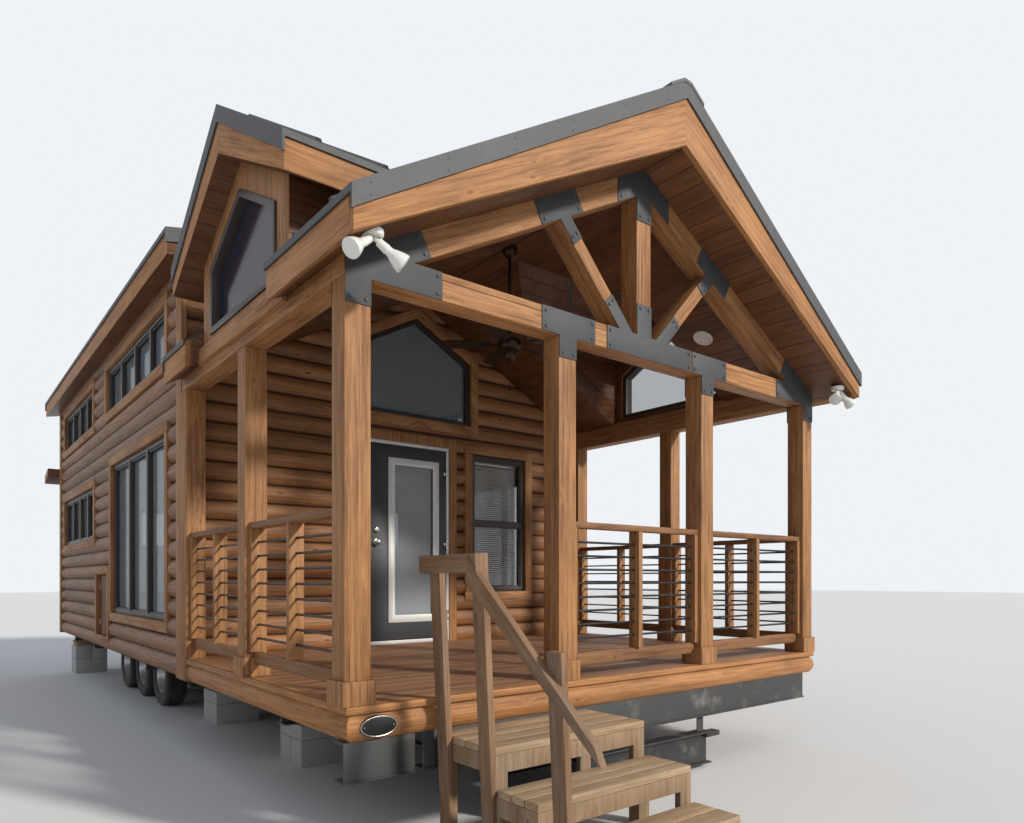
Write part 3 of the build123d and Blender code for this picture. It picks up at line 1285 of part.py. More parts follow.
def build():
    """All pieces by the name of their node."""
    nodes = {}
    rails, cross, channel, hitch = chassis()
    nodes.update(chassis_rails=rails, chassis_crossmembers=cross, front_channel=channel, hitch_bar=hitch)
    rims, tyres = wheels()
    nodes.update(pier_blocks=piers(), axles=axles(), leaf_springs=leaf_springs())
    nodes.update(wheel_rims=rims, tyres=tyres)
    nodes["house_floor"] = house_floor()
    loft_low = LOFT_FLOOR_TOP - LOFT_FLOOR_DEPTH
    nodes["loft_floor"] = block(-INNER_X, INNER_X, LOFT_FRONT_Y, INNER_REAR, loft_low, LOFT_FLOOR_TOP)
    deck, joists, rim = porch_floor()
    nodes.update(porch_deck=deck, porch_joists=joists, porch_rim=rim, badge_plate=badge(rim))
    shafts, collars = posts()
    nodes.update(porch_posts=shafts, post_collars=collars)
    tie, chords, king, webs = truss()
    nodes.update(tie_beam=tie, truss_chords=chords, king_post=king, truss_webs=webs)
    nodes["truss_plates"] = truss_plates()
    nodes["side_beams"] = group(side_beam(LEFT), side_beam(RIGHT))
    front_rails, side_rails = railings()
    nodes.update(front_railings=front_rails, side_railings=side_rails)
    left, right, gable = front_walls()
    nodes.update(front_wall_left=left, front_wall_right=right, front_gable=gable)
    nodes.update(left_wall=side_wall("left"), right_wall=side_wall("right"), rear_wall=rear_wall())
    nodes.update(corner_boards=corner_boards(), dormer_walls=group(dormer_walls(LEFT), dormer_walls(RIGHT)))
    nodes.update(porch_roof=porch_roof(), porch_fascia=porch_fascia(), porch_roof_metal=porch_metal())
    nodes["dormer_roofs"] = group(dormer_roof(LEFT), dormer_roof(RIGHT))
    nodes["dormer_roof_metal"] = group(dormer_metal(LEFT), dormer_metal(RIGHT))
    roof, roof_metal = main_roof()
    pent, pent_metal = rear_pent()
    nodes.update(main_roof=roof, main_roof_metal=roof_metal)
    nodes.update(rear_pent_roof=pent, rear_pent_metal=pent_metal)
    casings, frames, glass, dormer_frames = windows()
    nodes.update(window_casings=casings, window_frames=frames, window_glass=glass)
    nodes["dormer_window_frames"] = dormer_frames
    casing, jamb = door_frame()
    nodes.update(door_casing=casing, door_jamb=jamb)
    leaf, lite, door_glass, hardware, door_plates = front_door()
    nodes.update(door_leaf=leaf, door_lite_frame=lite, door_glass=door_glass, door_hardware=hardware)
    hatch, hatch_plates = service_door()
    nodes.update(service_door=hatch, hinge_plates=group(door_plates, hatch_plates))
    fixed, rotor = porch_fan()
    nodes.update(fan_mount=fixed, fan_rotor=rotor, flood_lights=flood_lights())
    nodes.update(stair_treads=stair_treads(), stair_frame=stair_frame(), stair_handrail=stair_handrail())
    return nodes


def main():
    """Place every node over the origin and write it."""
    nodes = {name: group(shape) for name, shape in build().items()}
    whole = group(*nodes.values()).bounding_box()
    place = Pos(0, -(whole.min.Y + whole.max.Y) / 2, DECK_HEIGHT)
    os.makedirs("parts", exist_ok=True)
    for name, shape in nodes.items():
        export_step(place * shape, f"parts/{name}.step")


main()
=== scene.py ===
"""A log-sided tiny house on a wheeled chassis: finishes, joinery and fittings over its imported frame."""
import logging
import math
from dataclasses import dataclass, field
from enum import Enum
from typing import Callable, Iterable, Sequence

import bpy
from mathutils import Matrix, Vector

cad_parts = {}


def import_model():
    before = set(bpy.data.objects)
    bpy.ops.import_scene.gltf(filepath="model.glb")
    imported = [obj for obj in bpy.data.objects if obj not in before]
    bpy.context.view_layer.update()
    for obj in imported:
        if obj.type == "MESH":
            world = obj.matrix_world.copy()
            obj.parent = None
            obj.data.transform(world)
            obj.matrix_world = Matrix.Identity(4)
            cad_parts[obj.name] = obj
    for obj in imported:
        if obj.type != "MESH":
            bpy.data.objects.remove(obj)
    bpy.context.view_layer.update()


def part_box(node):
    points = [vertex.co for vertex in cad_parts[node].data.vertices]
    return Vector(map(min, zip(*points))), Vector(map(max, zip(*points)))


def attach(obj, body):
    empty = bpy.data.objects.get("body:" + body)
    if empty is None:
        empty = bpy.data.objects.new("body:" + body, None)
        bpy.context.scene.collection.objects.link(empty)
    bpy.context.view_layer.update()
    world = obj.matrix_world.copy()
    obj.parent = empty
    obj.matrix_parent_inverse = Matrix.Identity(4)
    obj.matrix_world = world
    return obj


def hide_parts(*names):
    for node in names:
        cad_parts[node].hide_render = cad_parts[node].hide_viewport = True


log = logging.getLogger("house")

Point = tuple[float, float, float]
Colour = tuple[float, float, float]
Profile = tuple[tuple[float, float], ...]
SIDES = (-1.0, 1.0)


class Grain(Enum):
    """Direction that the grain of a piece runs in."""

    X = "across the house"
    Y = "along the house"
    Z = "upright"
    SLOPE = "down the slopes of the porch roof"
    DORMER = "down the slopes of the dormers"
    HANDRAIL = "down the handrail"
    WEB = "along the webs of the truss"


@dataclass(frozen=True)
class Places:
    """Driving sizes of the house, in metres, with Y from the rim's face and Z from the deck."""

    half_width: float = 2.134
    porch: float = 2.830
    rear: float = 9.400
    log_pitch: float = 0.157
    log_bulge: float = 0.042
    floor_depth: float = 0.173
    post: float = 0.140
    post_setback: float = 0.020
    mid_post: float = 0.687
    beam_under: float = 2.056
    tie_depth: float = 0.147
    soffit_slope: float = 0.535
    roof_slope: float = 0.62
    main_slope: float = 0.20
    web_slope: float = 1.05
    ceiling: float = 3.2997
    rake: float = -0.323
    dormer: float = 1.475
    dormer_half: float = 1.055
    deck: float = 0.750
    handrail_slope: float = 0.942

    @property
    def side_post(self) -> float:
        """Middle of the side posts, along the porch."""
        return self.porch / 2 + 0.049

    @property
    def origin(self) -> float:
        """Place of the rim's face along the frame's Y axis."""
        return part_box("porch_rim")[0].y

    def at(self, x: float, y: float, z: float) -> Vector:
        """Point in the frame from a place in the house's own sizes."""
        return Vector((x, y + self.origin, z + self.deck))

    def move(self, x: float, y: float, z: float) -> Matrix:
        """Move of the origin to a place in the house's own sizes."""
        return Matrix.Translation(self.at(x, y, z))


HOUSE = Places()


# Shading: expressions on sockets, and the finishes made from them

class Wire:
    """A shader socket that takes part in Python expressions."""

    def __init__(self, graph: "Nodes", socket: bpy.types.NodeSocket) -> None:
        """Wrap an output socket of a graph's node."""
        self.graph = graph
        self.socket = socket

    def _math(self, operation: str, *values: "Wire | float") -> "Wire":
        """Result of a Math node on these values."""
        return self.graph.node("ShaderNodeMath", {"operation": operation}, dict(enumerate(values)))

    def __add__(self, other: "Wire | float") -> "Wire":
        """Sum."""
        return self._math("ADD", self, other)

    def __sub__(self, other: "Wire | float") -> "Wire":
        """Difference."""
        return self._math("SUBTRACT", self, other)

    def __rsub__(self, other: float) -> "Wire":
        """Difference from a number."""
        return self._math("SUBTRACT", other, self)

    def __mul__(self, other: "Wire | float") -> "Wire":
        """Product."""
        return self._math("MULTIPLY", self, other)

    def __truediv__(self, other: "Wire | float") -> "Wire":
        """Quotient."""
        return self._math("DIVIDE", self, other)

    def __gt__(self, other: "Wire | float") -> "Wire":
        """One where this is the greater, and zero elsewhere."""
        return self._math("GREATER_THAN", self, other)

    def __lt__(self, other: "Wire | float") -> "Wire":
        """One where this is the lesser, and zero elsewhere."""
        return self._math("LESS_THAN", self, other)

    __radd__ = __add__
    __rmul__ = __mul__

    def beside(self, output: str) -> "Wire":
        """Another output of the same node."""
        return Wire(self.graph, self.socket.node.outputs[output])

    def floor(self) -> "Wire":
        """Whole part."""
        return self._math("FLOOR", self)

    def fract(self) -> "Wire":
        """What is left after the whole part."""
        return self._math("FRACT", self)

    def size(self) -> "Wire":
        """Value without its sign."""
        return self._math("ABSOLUTE", self)

    def sine(self) -> "Wire":
        """Sine."""
        return self._math("SINE", self)

    def smaller(self, other: "Wire | float") -> "Wire":
        """The lesser of two values."""
        return self._math("MINIMUM", self, other)

    def larger(self, other: "Wire | float") -> "Wire":
        """The greater of two values."""
        return self._math("MAXIMUM", self, other)

    def rise(self, low: float, high: float) -> "Wire":
        """Smooth step from zero at low to one at high.

        Args:
            low: Value at which the step starts.
            high: Value at which it ends, which may be the lesser.

        Returns:
            The step, between zero and one.
        """
        if high < low:
            return 1 - self.rise(high, low)
        settings = {"interpolation_type": "SMOOTHSTEP"}
        return self.graph.node("ShaderNodeMapRange", settings, {0: self, 1: low, 2: high})


class Nodes:
    """A node tree, of a material or of the world."""

    def __init__(self, tree: bpy.types.NodeTree) -> None:
        """Take a tree as Blender makes it."""
        self.tree = tree

    def node(self, kind: str, settings: dict | None = None, inputs: dict | None = None,
             output: int | str = 0) -> Wire:
        """Add a node, with its settings before its sockets.

        Args:
            kind: Type of the node.
            settings: Values of its properties.
            inputs: Wires or plain values of its sockets, by number or name.
            output: Number or name of the output to return.

        Returns:
            That output.
        """
        made = self.tree.nodes.new(kind)
        for name, value in (settings or {}).items():
            setattr(made, name, value)
        for key, value in (inputs or {}).items():
            if isinstance(value, Wire):
                self.tree.links.new(value.socket, made.inputs[key])
            else:
                made.inputs[key].default_value = value
        return Wire(self, made.outputs[output])


class Graph(Nodes):
    """Nodes of one material, built round its Principled shader."""

    def __init__(self, name: str) -> None:
        """Start a material with only its shader and output.

        Args:
            name: Name of the material.
        """
        self.material = bpy.data.materials.new(name)
        self.material.use_nodes = True
        super().__init__(self.material.node_tree)
        self.shader = self.tree.nodes["Principled BSDF"]
        place = self.node("ShaderNodeTexCoord", output="Object")
        self.x = self.node("ShaderNodeSeparateXYZ", inputs={0: place}, output="X")
        self.y = self.x.beside("Y")
        self.z = self.x.beside("Z")

    def place(self) -> Wire:
        """Place on the object, in metres."""
        return self.vector(self.x, self.y, self.z)

    def vector(self, x: Wire | float, y: Wire | float, z: Wire | float) -> Wire:
        """Vector from three values."""
        return self.node("ShaderNodeCombineXYZ", inputs={0: x, 1: y, 2: z})

    def noise(self, place: Wire, scale: float, detail: float = 3.0, rough: float = 0.55) -> Wire:
        """Fractal noise between zero and one."""
        sockets = {"Vector": place, "Scale": scale, "Detail": detail, "Roughness": rough}
        return self.node("ShaderNodeTexNoise", inputs=sockets)

    def cell(self, place: Wire, scale: float) -> Wire:
        """Distance to the nearest of scattered points."""
        return self.node("ShaderNodeTexVoronoi", inputs={"Vector": place, "Scale": scale}, output="Distance")

    def chance(self, value: Wire) -> Wire:
        """Random number that stays the same for the same value."""
        return self.node("ShaderNodeTexWhiteNoise", {"noise_dimensions": "1D"}, {"W": value})

    def blend(self, share: Wire | float, first: Wire | Colour, second: Wire | Colour) -> Wire:
        """Mix of two colours, by the share of the second."""
        first, second = ((*c, 1.0) if isinstance(c, tuple) else c for c in (first, second))
        return self.node("ShaderNodeMix", {"data_type": "RGBA"}, {0: share, 6: first, 7: second}, output=2)

    def shade(self, colour: Wire, amount: Wire) -> Wire:
        """Colour made lighter or darker by a factor."""
        grey = self.vector(amount, amount, amount)
        return self.node("ShaderNodeVectorMath", {"operation": "MULTIPLY"}, {0: colour, 1: grey})

    def emboss(self, height: Wire, depth: float) -> None:
        """Relief of the surface, from a height between zero and one and its depth in metres."""
        normal = self.node("ShaderNodeBump", inputs={"Distance": depth, "Height": height}, output="Normal")
        self.feed("Normal", normal)

    def feed(self, socket: str, value: Wire | float | Colour) -> None:
        """Give a socket of the shader a wire or a plain value.

        Args:
            socket: Name of the socket.
            value: What it gets.
        """
        if isinstance(value, Wire):
            self.tree.links.new(value.socket, self.shader.inputs[socket])
        elif isinstance(value, tuple):
            self.shader.inputs[socket].default_value = (*value, 1.0)
        else:
            self.shader.inputs[socket].default_value = value


@dataclass(frozen=True)
class Finish:
    """Base of every finish: a name, which is kept once as a material."""

    name: str

    def material(self) -> bpy.types.Material:
        """Material of this finish, made when it is first asked for.

        Returns:
            The material.
        """
        found = bpy.data.materials.get(self.name)
        if found is None:
            graph = Graph(self.name)
            self.paint(graph)
            found = graph.material
        return found

    def paint(self, graph: Graph) -> None:
        """Connect the finish's nodes to the shader."""
        raise NotImplementedError


@dataclass(frozen=True)
class Timber(Finish):
    """Stained softwood with streaks, growth rings, knots and joints between boards."""

    grain: Grain
    light: Colour = (0.45, 0.222, 0.088)
    dark: Colour = (0.15, 0.061, 0.022)
    board: float = 0.0
    start: float = 0.0
    groove: float = 0.004
    rough: float = 0.62
    weather: float = 0.0
    knots: float = 0.5

    def frame(self, graph: Graph) -> tuple[Wire, Wire, Wire]:
        """Coordinates of the timber: along its grain, across it, and through it.

        Args:
            graph: Graph that they are read in.

        Returns:
            The three coordinates, in metres.
        """
        x, y, z = graph.x, graph.y, graph.z
        if self.grain is Grain.X:
            return x, z, y
        if self.grain is Grain.Y:
            return y, z, x
        if self.grain is Grain.Z:
            return z, x, y
        if self.grain is Grain.HANDRAIL:
            fall = math.atan(HOUSE.handrail_slope)
            return (y * math.cos(fall) + z * math.sin(fall), z * math.cos(fall) - y * math.sin(fall), x)
        slope = -HOUSE.web_slope if self.grain is Grain.WEB else HOUSE.soffit_slope
        turn = math.atan(slope)
        out, through = x, y
        if self.grain is Grain.DORMER:
            out, through = y - (HOUSE.origin + HOUSE.dormer), x
        away = out.size()
        return (away * math.cos(turn) - z * math.sin(turn),
                away * math.sin(turn) + z * math.cos(turn), through + (out > 0.0) * 3.0)

    def paint(self, graph: Graph) -> None:
        """Connect streaks, rings, knots and board joints to the shader.

        Args:
            graph: Graph of the material.
        """
        along, across, through = self.frame(graph)
        joint = None
        if self.board:
            row = (across - self.start) / self.board
            tone = graph.chance(row.floor() + 0.5)
            place = row.fract()
            joint = place.smaller(1 - place).rise(0.0, self.groove / self.board)
            along = along + tone * 7.0
        wander = graph.noise(graph.vector(along * 0.7, across * 2.5, through * 2.5), 1.0, 2.0)
        knot = graph.cell(graph.vector(along * 3.6, across * 8.5, through * 8.5), 1.0)
        core = knot.rise(0.11, 0.045) * self.knots
        halo = knot.rise(0.36, 0.12) * self.knots
        rings = (across * 150.0 + through * 110.0 + wander * 11.0 + halo * 7.0).sine() * 0.5
        streak = graph.noise(graph.vector(along * 3.2, across * 120.0, through * 120.0), 1.0, 4.0, 0.65)
        fibre = graph.noise(graph.vector(along * 18.0, across * 380.0, through * 380.0), 1.0, 2.0, 0.6)
        patch = graph.noise(graph.vector(along * 1.5, across * 7.0, through * 7.0), 1.0, 4.0, 0.6)
        sawn = graph.noise(graph.vector(along * 260.0, across * 7.0, through * 7.0), 1.0, 1.0)
        share = rings * 0.20 + (streak - 0.5) * 2.0 + (patch - 0.5) * 1.8 + (fibre - 0.5) * 0.5 + 0.45
        colour = graph.blend(share, self.light, self.dark)
        colour = graph.blend(halo * 0.30, colour, tuple(c * 1.25 for c in self.light))
        colour = graph.blend(core * 0.85, colour, tuple(c * 0.30 for c in self.dark))
        shade = patch * 0.2 + sawn * 0.12 + 0.84
        if joint is not None:
            shade = shade * (tone * 0.34 + 0.83) * (joint * 0.72 + 0.28)
        colour = graph.shade(colour, shade)
        if self.weather:
            worn = graph.noise(graph.vector(along * 1.3, across * 14.0, through * 14.0), 1.0, 5.0)
            colour = graph.blend(worn.rise(0.35, 0.75) * self.weather, colour, (0.36, 0.31, 0.24))
        graph.feed("Base Color", colour)
        graph.feed("Roughness", streak * 0.2 + (self.rough - 0.1))
        graph.feed("Specular IOR Level", 0.3)
        relief = streak * 0.5 + fibre * 0.3 + sawn * 0.3 + rings * 0.1
        if joint is not None:
            relief = relief + joint * 2.0
        graph.emboss(relief, 0.0014)


@dataclass(frozen=True)
class LogSiding(Finish):
    """Half-log courses: honey-brown faces, painted shade in the hollows between them, and pine boards inside.
    """

    grain: Grain
    inner: float
    light: Colour = (0.36, 0.165, 0.064)
    dark: Colour = (0.120, 0.048, 0.018)
    hollow_shade: Colour = (0.030, 0.012, 0.006)
    lining: Colour = (0.50, 0.30, 0.14)

    def paint(self, graph: Graph) -> None:
        """Connect courses, grain, checks and the lining to the shader, with painted shade in the checks and
        in the hollows between courses.

        Args:
            graph: Graph of the material.
        """
        if self.grain is Grain.Y:
            along, out = graph.y, graph.x.size()
        else:
            along, out = graph.x, (graph.y - (HOUSE.origin + (HOUSE.porch + HOUSE.rear) / 2)).size()
        row = (graph.z - (HOUSE.deck - HOUSE.floor_depth)) / HOUSE.log_pitch
        course = row.floor() + 0.5
        tone = graph.chance(course)
        place = row.fract()
        seam = place.smaller(1 - place)
        run = along + tone * 9.0
        turn = place * 0.21
        wander = graph.noise(graph.vector(run * 0.5, turn * 9.0 + course * 3.0, 0.0), 1.0, 2.0)
        rings = (turn * 170.0 + wander * 15.0).sine() * 0.5
        streak = graph.noise(graph.vector(run * 2.6, turn * 110.0 + course * 31.0, 0.0), 1.0, 5.0, 0.65)
        patch = graph.noise(graph.vector(run * 1.1, turn * 7.0 + course * 5.0, 0.0), 1.0, 4.0)
        knot = graph.cell(graph.vector(run * 3.0, turn * 7.5 + course * 2.7, course * 1.3), 1.0)
        knot_mask = knot.rise(0.12, 0.05) * 0.8
        split = graph.noise(graph.vector(run * 0.8, turn * 60.0 + course * 17.0, 3.0), 1.0, 1.0)
        check = split.rise(0.70, 0.74)
        share = rings * 0.18 + (streak - 0.5) * 2.0 + (patch - 0.5) * 1.8 + 0.45
        colour = graph.blend(share, self.light, self.dark)
        colour = graph.blend(knot.rise(0.40, 0.14) * 0.25, colour, tuple(c * 1.25 for c in self.light))
        colour = graph.blend(knot_mask, colour, tuple(c * 0.32 for c in self.dark))
        # Painted shade: the checks are darkened towards the colour of the hollows.
        colour = graph.blend(check * 0.55, colour, self.hollow_shade)
        colour = graph.shade(colour, (tone * 0.36 + 0.84) * (patch * 0.3 + 0.86))
        # Painted shade: near-black in the hollows between courses, where the logs curve away from the light.
        colour = graph.blend(seam.rise(0.13, 0.0) * 0.95, colour, self.hollow_shade)
        inside = out < self.inner
        board = (graph.z / 0.14).fract()
        lined = graph.shade(graph.blend(streak * 0.8, self.lining, tuple(c * 0.6 for c in self.lining)),
                            board.smaller(1 - board).rise(0.0, 0.03) * 0.6 + 0.4)
        graph.feed("Base Color", graph.blend(inside, colour, lined))
        graph.feed("Roughness", streak * 0.22 + 0.44)
        graph.feed("Specular IOR Level", 0.35)
        graph.emboss(streak * 0.4 + rings * 0.15 + check * -1.2, 0.0022)


@dataclass(frozen=True)
class SheetMetal(Finish):
    """Factory-painted roof sheet or trim, a little chalky, with faint waves and dust."""

    colour: Colour = (0.040, 0.041, 0.043)
    rough: float = 0.56

    def paint(self, graph: Graph) -> None:
        """Connect dust, waves and small scuffs to the shader.

        Args:
            graph: Graph of the material.
        """
        place = graph.place()
        dust = graph.noise(place, 1.7, 4.0)
        fine = graph.noise(place, 60.0, 3.0)
        run = graph.noise(graph.vector(graph.x * 3.0, graph.y * 3.0, graph.z * 0.5), 2.0, 3.0)
        pale = tuple(c * 1.7 + 0.01 for c in self.colour)
        colour = graph.blend(dust.rise(0.35, 0.8) * 0.55 + run * 0.18, self.colour, pale)
        graph.feed("Base Color", colour)
        graph.feed("Roughness", dust * 0.2 + fine * 0.1 + (self.rough - 0.12))
        graph.emboss(graph.noise(place, 3.5, 2.0) + fine * 0.05, 0.004)


@dataclass(frozen=True)
class Paint(Finish):
    """Painted metal, wood or plastic with brush or spray texture, dust and rubbed spots."""

    colour: Colour
    rough: float = 0.45
    metal: float = 0.0
    grit: float = 0.3
    wear: Colour = (0.30, 0.28, 0.25)
    worn: float = 0.12
    depth: float = 0.0006
    coat: float = 0.0

    def paint(self, graph: Graph) -> None:
        """Connect dust, wear and texture to the shader.

        Args:
            graph: Graph of the material.
        """
        place = graph.place()
        dust = graph.noise(place, 5.0, 5.0, 0.6)
        fine = graph.noise(place, 180.0, 2.0)
        colour = graph.shade(graph.blend(dust.rise(0.52, 0.80) * self.worn, self.colour, self.wear),
                             dust * self.grit + (1.0 - self.grit / 2))
        graph.feed("Base Color", colour)
        graph.feed("Roughness", dust * 0.25 + fine * 0.1 + (self.rough - 0.17))
        graph.feed("Metallic", self.metal)
        graph.feed("Coat Weight", self.coat)
        graph.emboss(fine * 0.6 + dust * 0.8, self.depth)


@dataclass(frozen=True)
class Masonry(Finish):
    """Cast concrete block with painted shade in its open pores, and darker towards the ground."""

    colour: Colour = (0.36, 0.35, 0.32)

    def paint(self, graph: Graph) -> None:
        """Connect pores with painted shade in them, stains, a darkening towards the ground and grain to the
        shader.

        Args:
            graph: Graph of the material.
        """
        place = graph.place()
        pore = graph.cell(place, 95.0)
        stain = graph.noise(place, 4.5, 4.0)
        sand = graph.noise(place, 140.0, 3.0)
        near_ground = graph.z.rise(0.16, 0.0)
        colour = graph.blend(stain * 0.7 + sand * 0.3, self.colour, tuple(c * 0.62 for c in self.colour))
        # Painted shade in the pores, and darker within 0.16 m of the ground.
        colour = graph.shade(colour, (1 - pore.rise(0.30, 0.08) * 0.45) * (1 - near_ground * 0.3))
        graph.feed("Base Color", colour)
        graph.feed("Roughness", sand * 0.15 + 0.82)
        graph.emboss(pore.rise(0.05, 0.35) * 0.8 + sand * 0.5, 0.0025)


@dataclass(frozen=True)
class Rubber(Finish):
    """Weathered tyre rubber, dustier low down."""

    colour: Colour = (0.018, 0.018, 0.019)

    def paint(self, graph: Graph) -> None:
        """Connect dust and fine cracks to the shader.

        Args:
            graph: Graph of the material.
        """
        place = graph.place()
        dust = graph.noise(place, 9.0, 5.0)
        crack = graph.noise(place, 160.0, 3.0)
        low = graph.z.rise(0.30, 0.0) * 0.45 + 0.12
        graph.feed("Base Color", graph.blend(dust * low, self.colour, (0.22, 0.19, 0.15)))
        graph.feed("Roughness", crack * 0.15 + 0.75)
        graph.emboss(crack, 0.0008)


@dataclass(frozen=True)
class Glazing(Finish):
    """Window glass, nearly opaque, its dark tint a painted shade for the unlit room behind it."""

    painted_shade_tint: Colour = (0.010, 0.017, 0.028)
    clear: float = 0.0

    def paint(self, graph: Graph) -> None:
        """Connect a faint unevenness and a veil of dust to the shader.

        Args:
            graph: Graph of the material.
        """
        place = graph.place()
        marks = graph.noise(place, 1.6, 2.0)
        # Painted shade: the dark tint stands for the unlit room behind the glass.
        graph.feed("Base Color", graph.blend(marks.rise(0.4, 0.9) * 0.08, self.painted_shade_tint, (0.2, 0.21, 0.2)))
        graph.feed("Roughness", marks * 0.02 + 0.08)
        graph.feed("Alpha", marks * 0.02 + (0.98 - self.clear))
        graph.feed("Specular IOR Level", 1.0)
        graph.feed("IOR", 1.60)


STAIN_X = Timber("stain_along_x", Grain.X)
STAIN_Y = Timber("stain_along_y", Grain.Y)
STAIN_Z = Timber("stain_upright", Grain.Z)
STAIN_SLOPE = Timber("stain_down_slope", Grain.SLOPE)
STAIN_WEB = Timber("stain_along_web", Grain.WEB)
TIE = Timber("tie_of_two_boards", Grain.X, board=1.0, start=HOUSE.deck + HOUSE.beam_under + 0.107)
WARM = {"light": (0.50, 0.236, 0.088), "dark": (0.20, 0.084, 0.030)}
RIM_X = Timber("rim_along_x", Grain.X, **WARM)
RIM_Y = Timber("rim_along_y", Grain.Y, **WARM)
RAKE_SLOPE = Timber("rake_down_slope", Grain.SLOPE, **WARM)
RAKE_DORMER = Timber("rake_down_dormer", Grain.DORMER, **WARM)
RAILING = {"light": (0.29, 0.138, 0.056), "dark": (0.105, 0.044, 0.018)}
RAIL_X = Timber("rail_along_x", Grain.X, **RAILING)
RAIL_Y = Timber("rail_along_y", Grain.Y, **RAILING)
# Ceiling boards: a dark reddish-brown stain, made darker still as painted shade for the soffits under the
# roofs.
BOARDED = {"light": (0.185, 0.074, 0.030), "dark": (0.070, 0.026, 0.010), "groove": 0.0024, "rough": 0.42,
           "board": 0.130 * math.sin(math.atan(HOUSE.soffit_slope))}
CEILING = Timber("ceiling_boards", Grain.Y, **BOARDED)
DORMER_CEILING = Timber("dormer_ceiling_boards", Grain.X, **BOARDED)
DECK = Timber("deck_boards", Grain.X, light=(0.42, 0.210, 0.106), dark=(0.175, 0.082, 0.042),
              rough=0.62, weather=0.14, knots=0.35)
JOIST = Timber("rough_joists", Grain.Y, light=(0.42, 0.30, 0.17), dark=(0.24, 0.15, 0.08), rough=0.8)
STAIR_X = Timber("worn_treads", Grain.X, light=(0.50, 0.345, 0.205), dark=(0.24, 0.150, 0.080),
                 rough=0.8, weather=0.35, knots=0.7)
STAIR_Z = Timber("worn_legs", Grain.Z, light=(0.36, 0.235, 0.135), dark=(0.16, 0.095, 0.050),
                 rough=0.8, weather=0.40, knots=0.7)
WORN_RAIL = {"light": (0.29, 0.165, 0.088), "dark": (0.125, 0.066, 0.034), "rough": 0.75, "weather": 0.25,
             "knots": 0.6}
HANDRAIL_Z = Timber("handrail_posts", Grain.Z, **WORN_RAIL)
HANDRAIL_DOWN = Timber("handrail_down", Grain.HANDRAIL, **WORN_RAIL)
HANDRAIL_Y = Timber("handrail_boards", Grain.Y, **WORN_RAIL)
HATCH_BOARDS = Timber("hatch_boards", Grain.Z, light=(0.24, 0.112, 0.047), dark=(0.090, 0.038, 0.016))
FLOORING = Timber("floor_planks", Grain.Y, light=(0.34, 0.22, 0.12), dark=(0.20, 0.12, 0.06), rough=0.45)
# Painted shade: the logs along the house are a darker copy of the end walls' logs, standing for the shade on
# the side walls.
LOGS_SIDE_SHADED = LogSiding("logs_along_house_shaded", Grain.Y, inner=HOUSE.half_width - HOUSE.log_bulge - 0.1095,
                      light=(0.30, 0.142, 0.060), dark=(0.100, 0.043, 0.018))
LOGS_END = LogSiding("logs_across_house", Grain.X, inner=(HOUSE.rear - HOUSE.porch) / 2 - 0.1515)
ROOF_SHEET = SheetMetal("roof_sheet")
TRIM_SHEET = SheetMetal("roof_trim", colour=(0.050, 0.052, 0.056), rough=0.52)
BLACK_STEEL = Paint("slate_plate", (0.044, 0.047, 0.050), rough=0.62, wear=(0.13, 0.13, 0.13), worn=0.3)
RAIL_STEEL = Paint("black_bars", (0.014, 0.014, 0.015), rough=0.38, metal=0.4)
CHASSIS = Paint("chassis_paint", (0.036, 0.035, 0.034), rough=0.55, metal=0.2, worn=0.45, depth=0.0012)
BRONZE = Paint("bronze_frame", (0.058, 0.049, 0.041), rough=0.42, wear=(0.12, 0.11, 0.10))
DOOR_GREY = Paint("door_paint", (0.034, 0.037, 0.041), rough=0.42, grit=0.15, worn=0.05, coat=0.15)
WHITE = Paint("white_frame", (0.74, 0.74, 0.71), rough=0.40, grit=0.08, wear=(0.45, 0.43, 0.38), worn=0.15)
LAMP_WHITE = Paint("lamp_enamel", (0.80, 0.79, 0.75), rough=0.30, grit=0.08, worn=0.08, coat=0.4)
NICKEL = Paint("satin_nickel", (0.52, 0.50, 0.46), rough=0.30, metal=1.0, grit=0.12)
FAN_BRONZE = Paint("oiled_bronze", (0.045, 0.026, 0.016), rough=0.36, metal=0.7)
RIM_SILVER = Paint("rim_silver", (0.52, 0.52, 0.53), rough=0.36, metal=0.6, worn=0.35, coat=0.2)
BADGE = Paint("badge_face", (0.010, 0.010, 0.011), rough=0.36, worn=0.05)
BADGE_EDGE = Paint("badge_rim", (0.42, 0.39, 0.33), rough=0.32, metal=0.9)
BLOCK = Masonry("pier_block")
TYRE = Rubber("tyre_rubber")
GLASS = Glazing("window_glass")
DOOR_GLASS = Glazing("door_glass", painted_shade_tint=(0.012, 0.016, 0.022), clear=0.38)
# Painted reflection: the dormer glass is tinted blue for the sky that it reflects, over painted shade.
DORMER_GLASS_SKY = Glazing("dormer_glass_painted_sky", painted_shade_tint=(0.012, 0.030, 0.075), clear=0.66)
BLIND_GLASS = Glazing("blind_glass", painted_shade_tint=(0.020, 0.024, 0.028), clear=0.88)
BLADE = Timber("fan_blades", Grain.X, light=(0.040, 0.020, 0.011), dark=(0.016, 0.008, 0.005), rough=0.5)


# Modelling steps

WELD = 0.00005
FLAT_ANGLE = 0.5
SHARP_ANGLE = 40.0
SMOOTH_ANGLE = 30.0
FOLD_ANGLE = 20.0


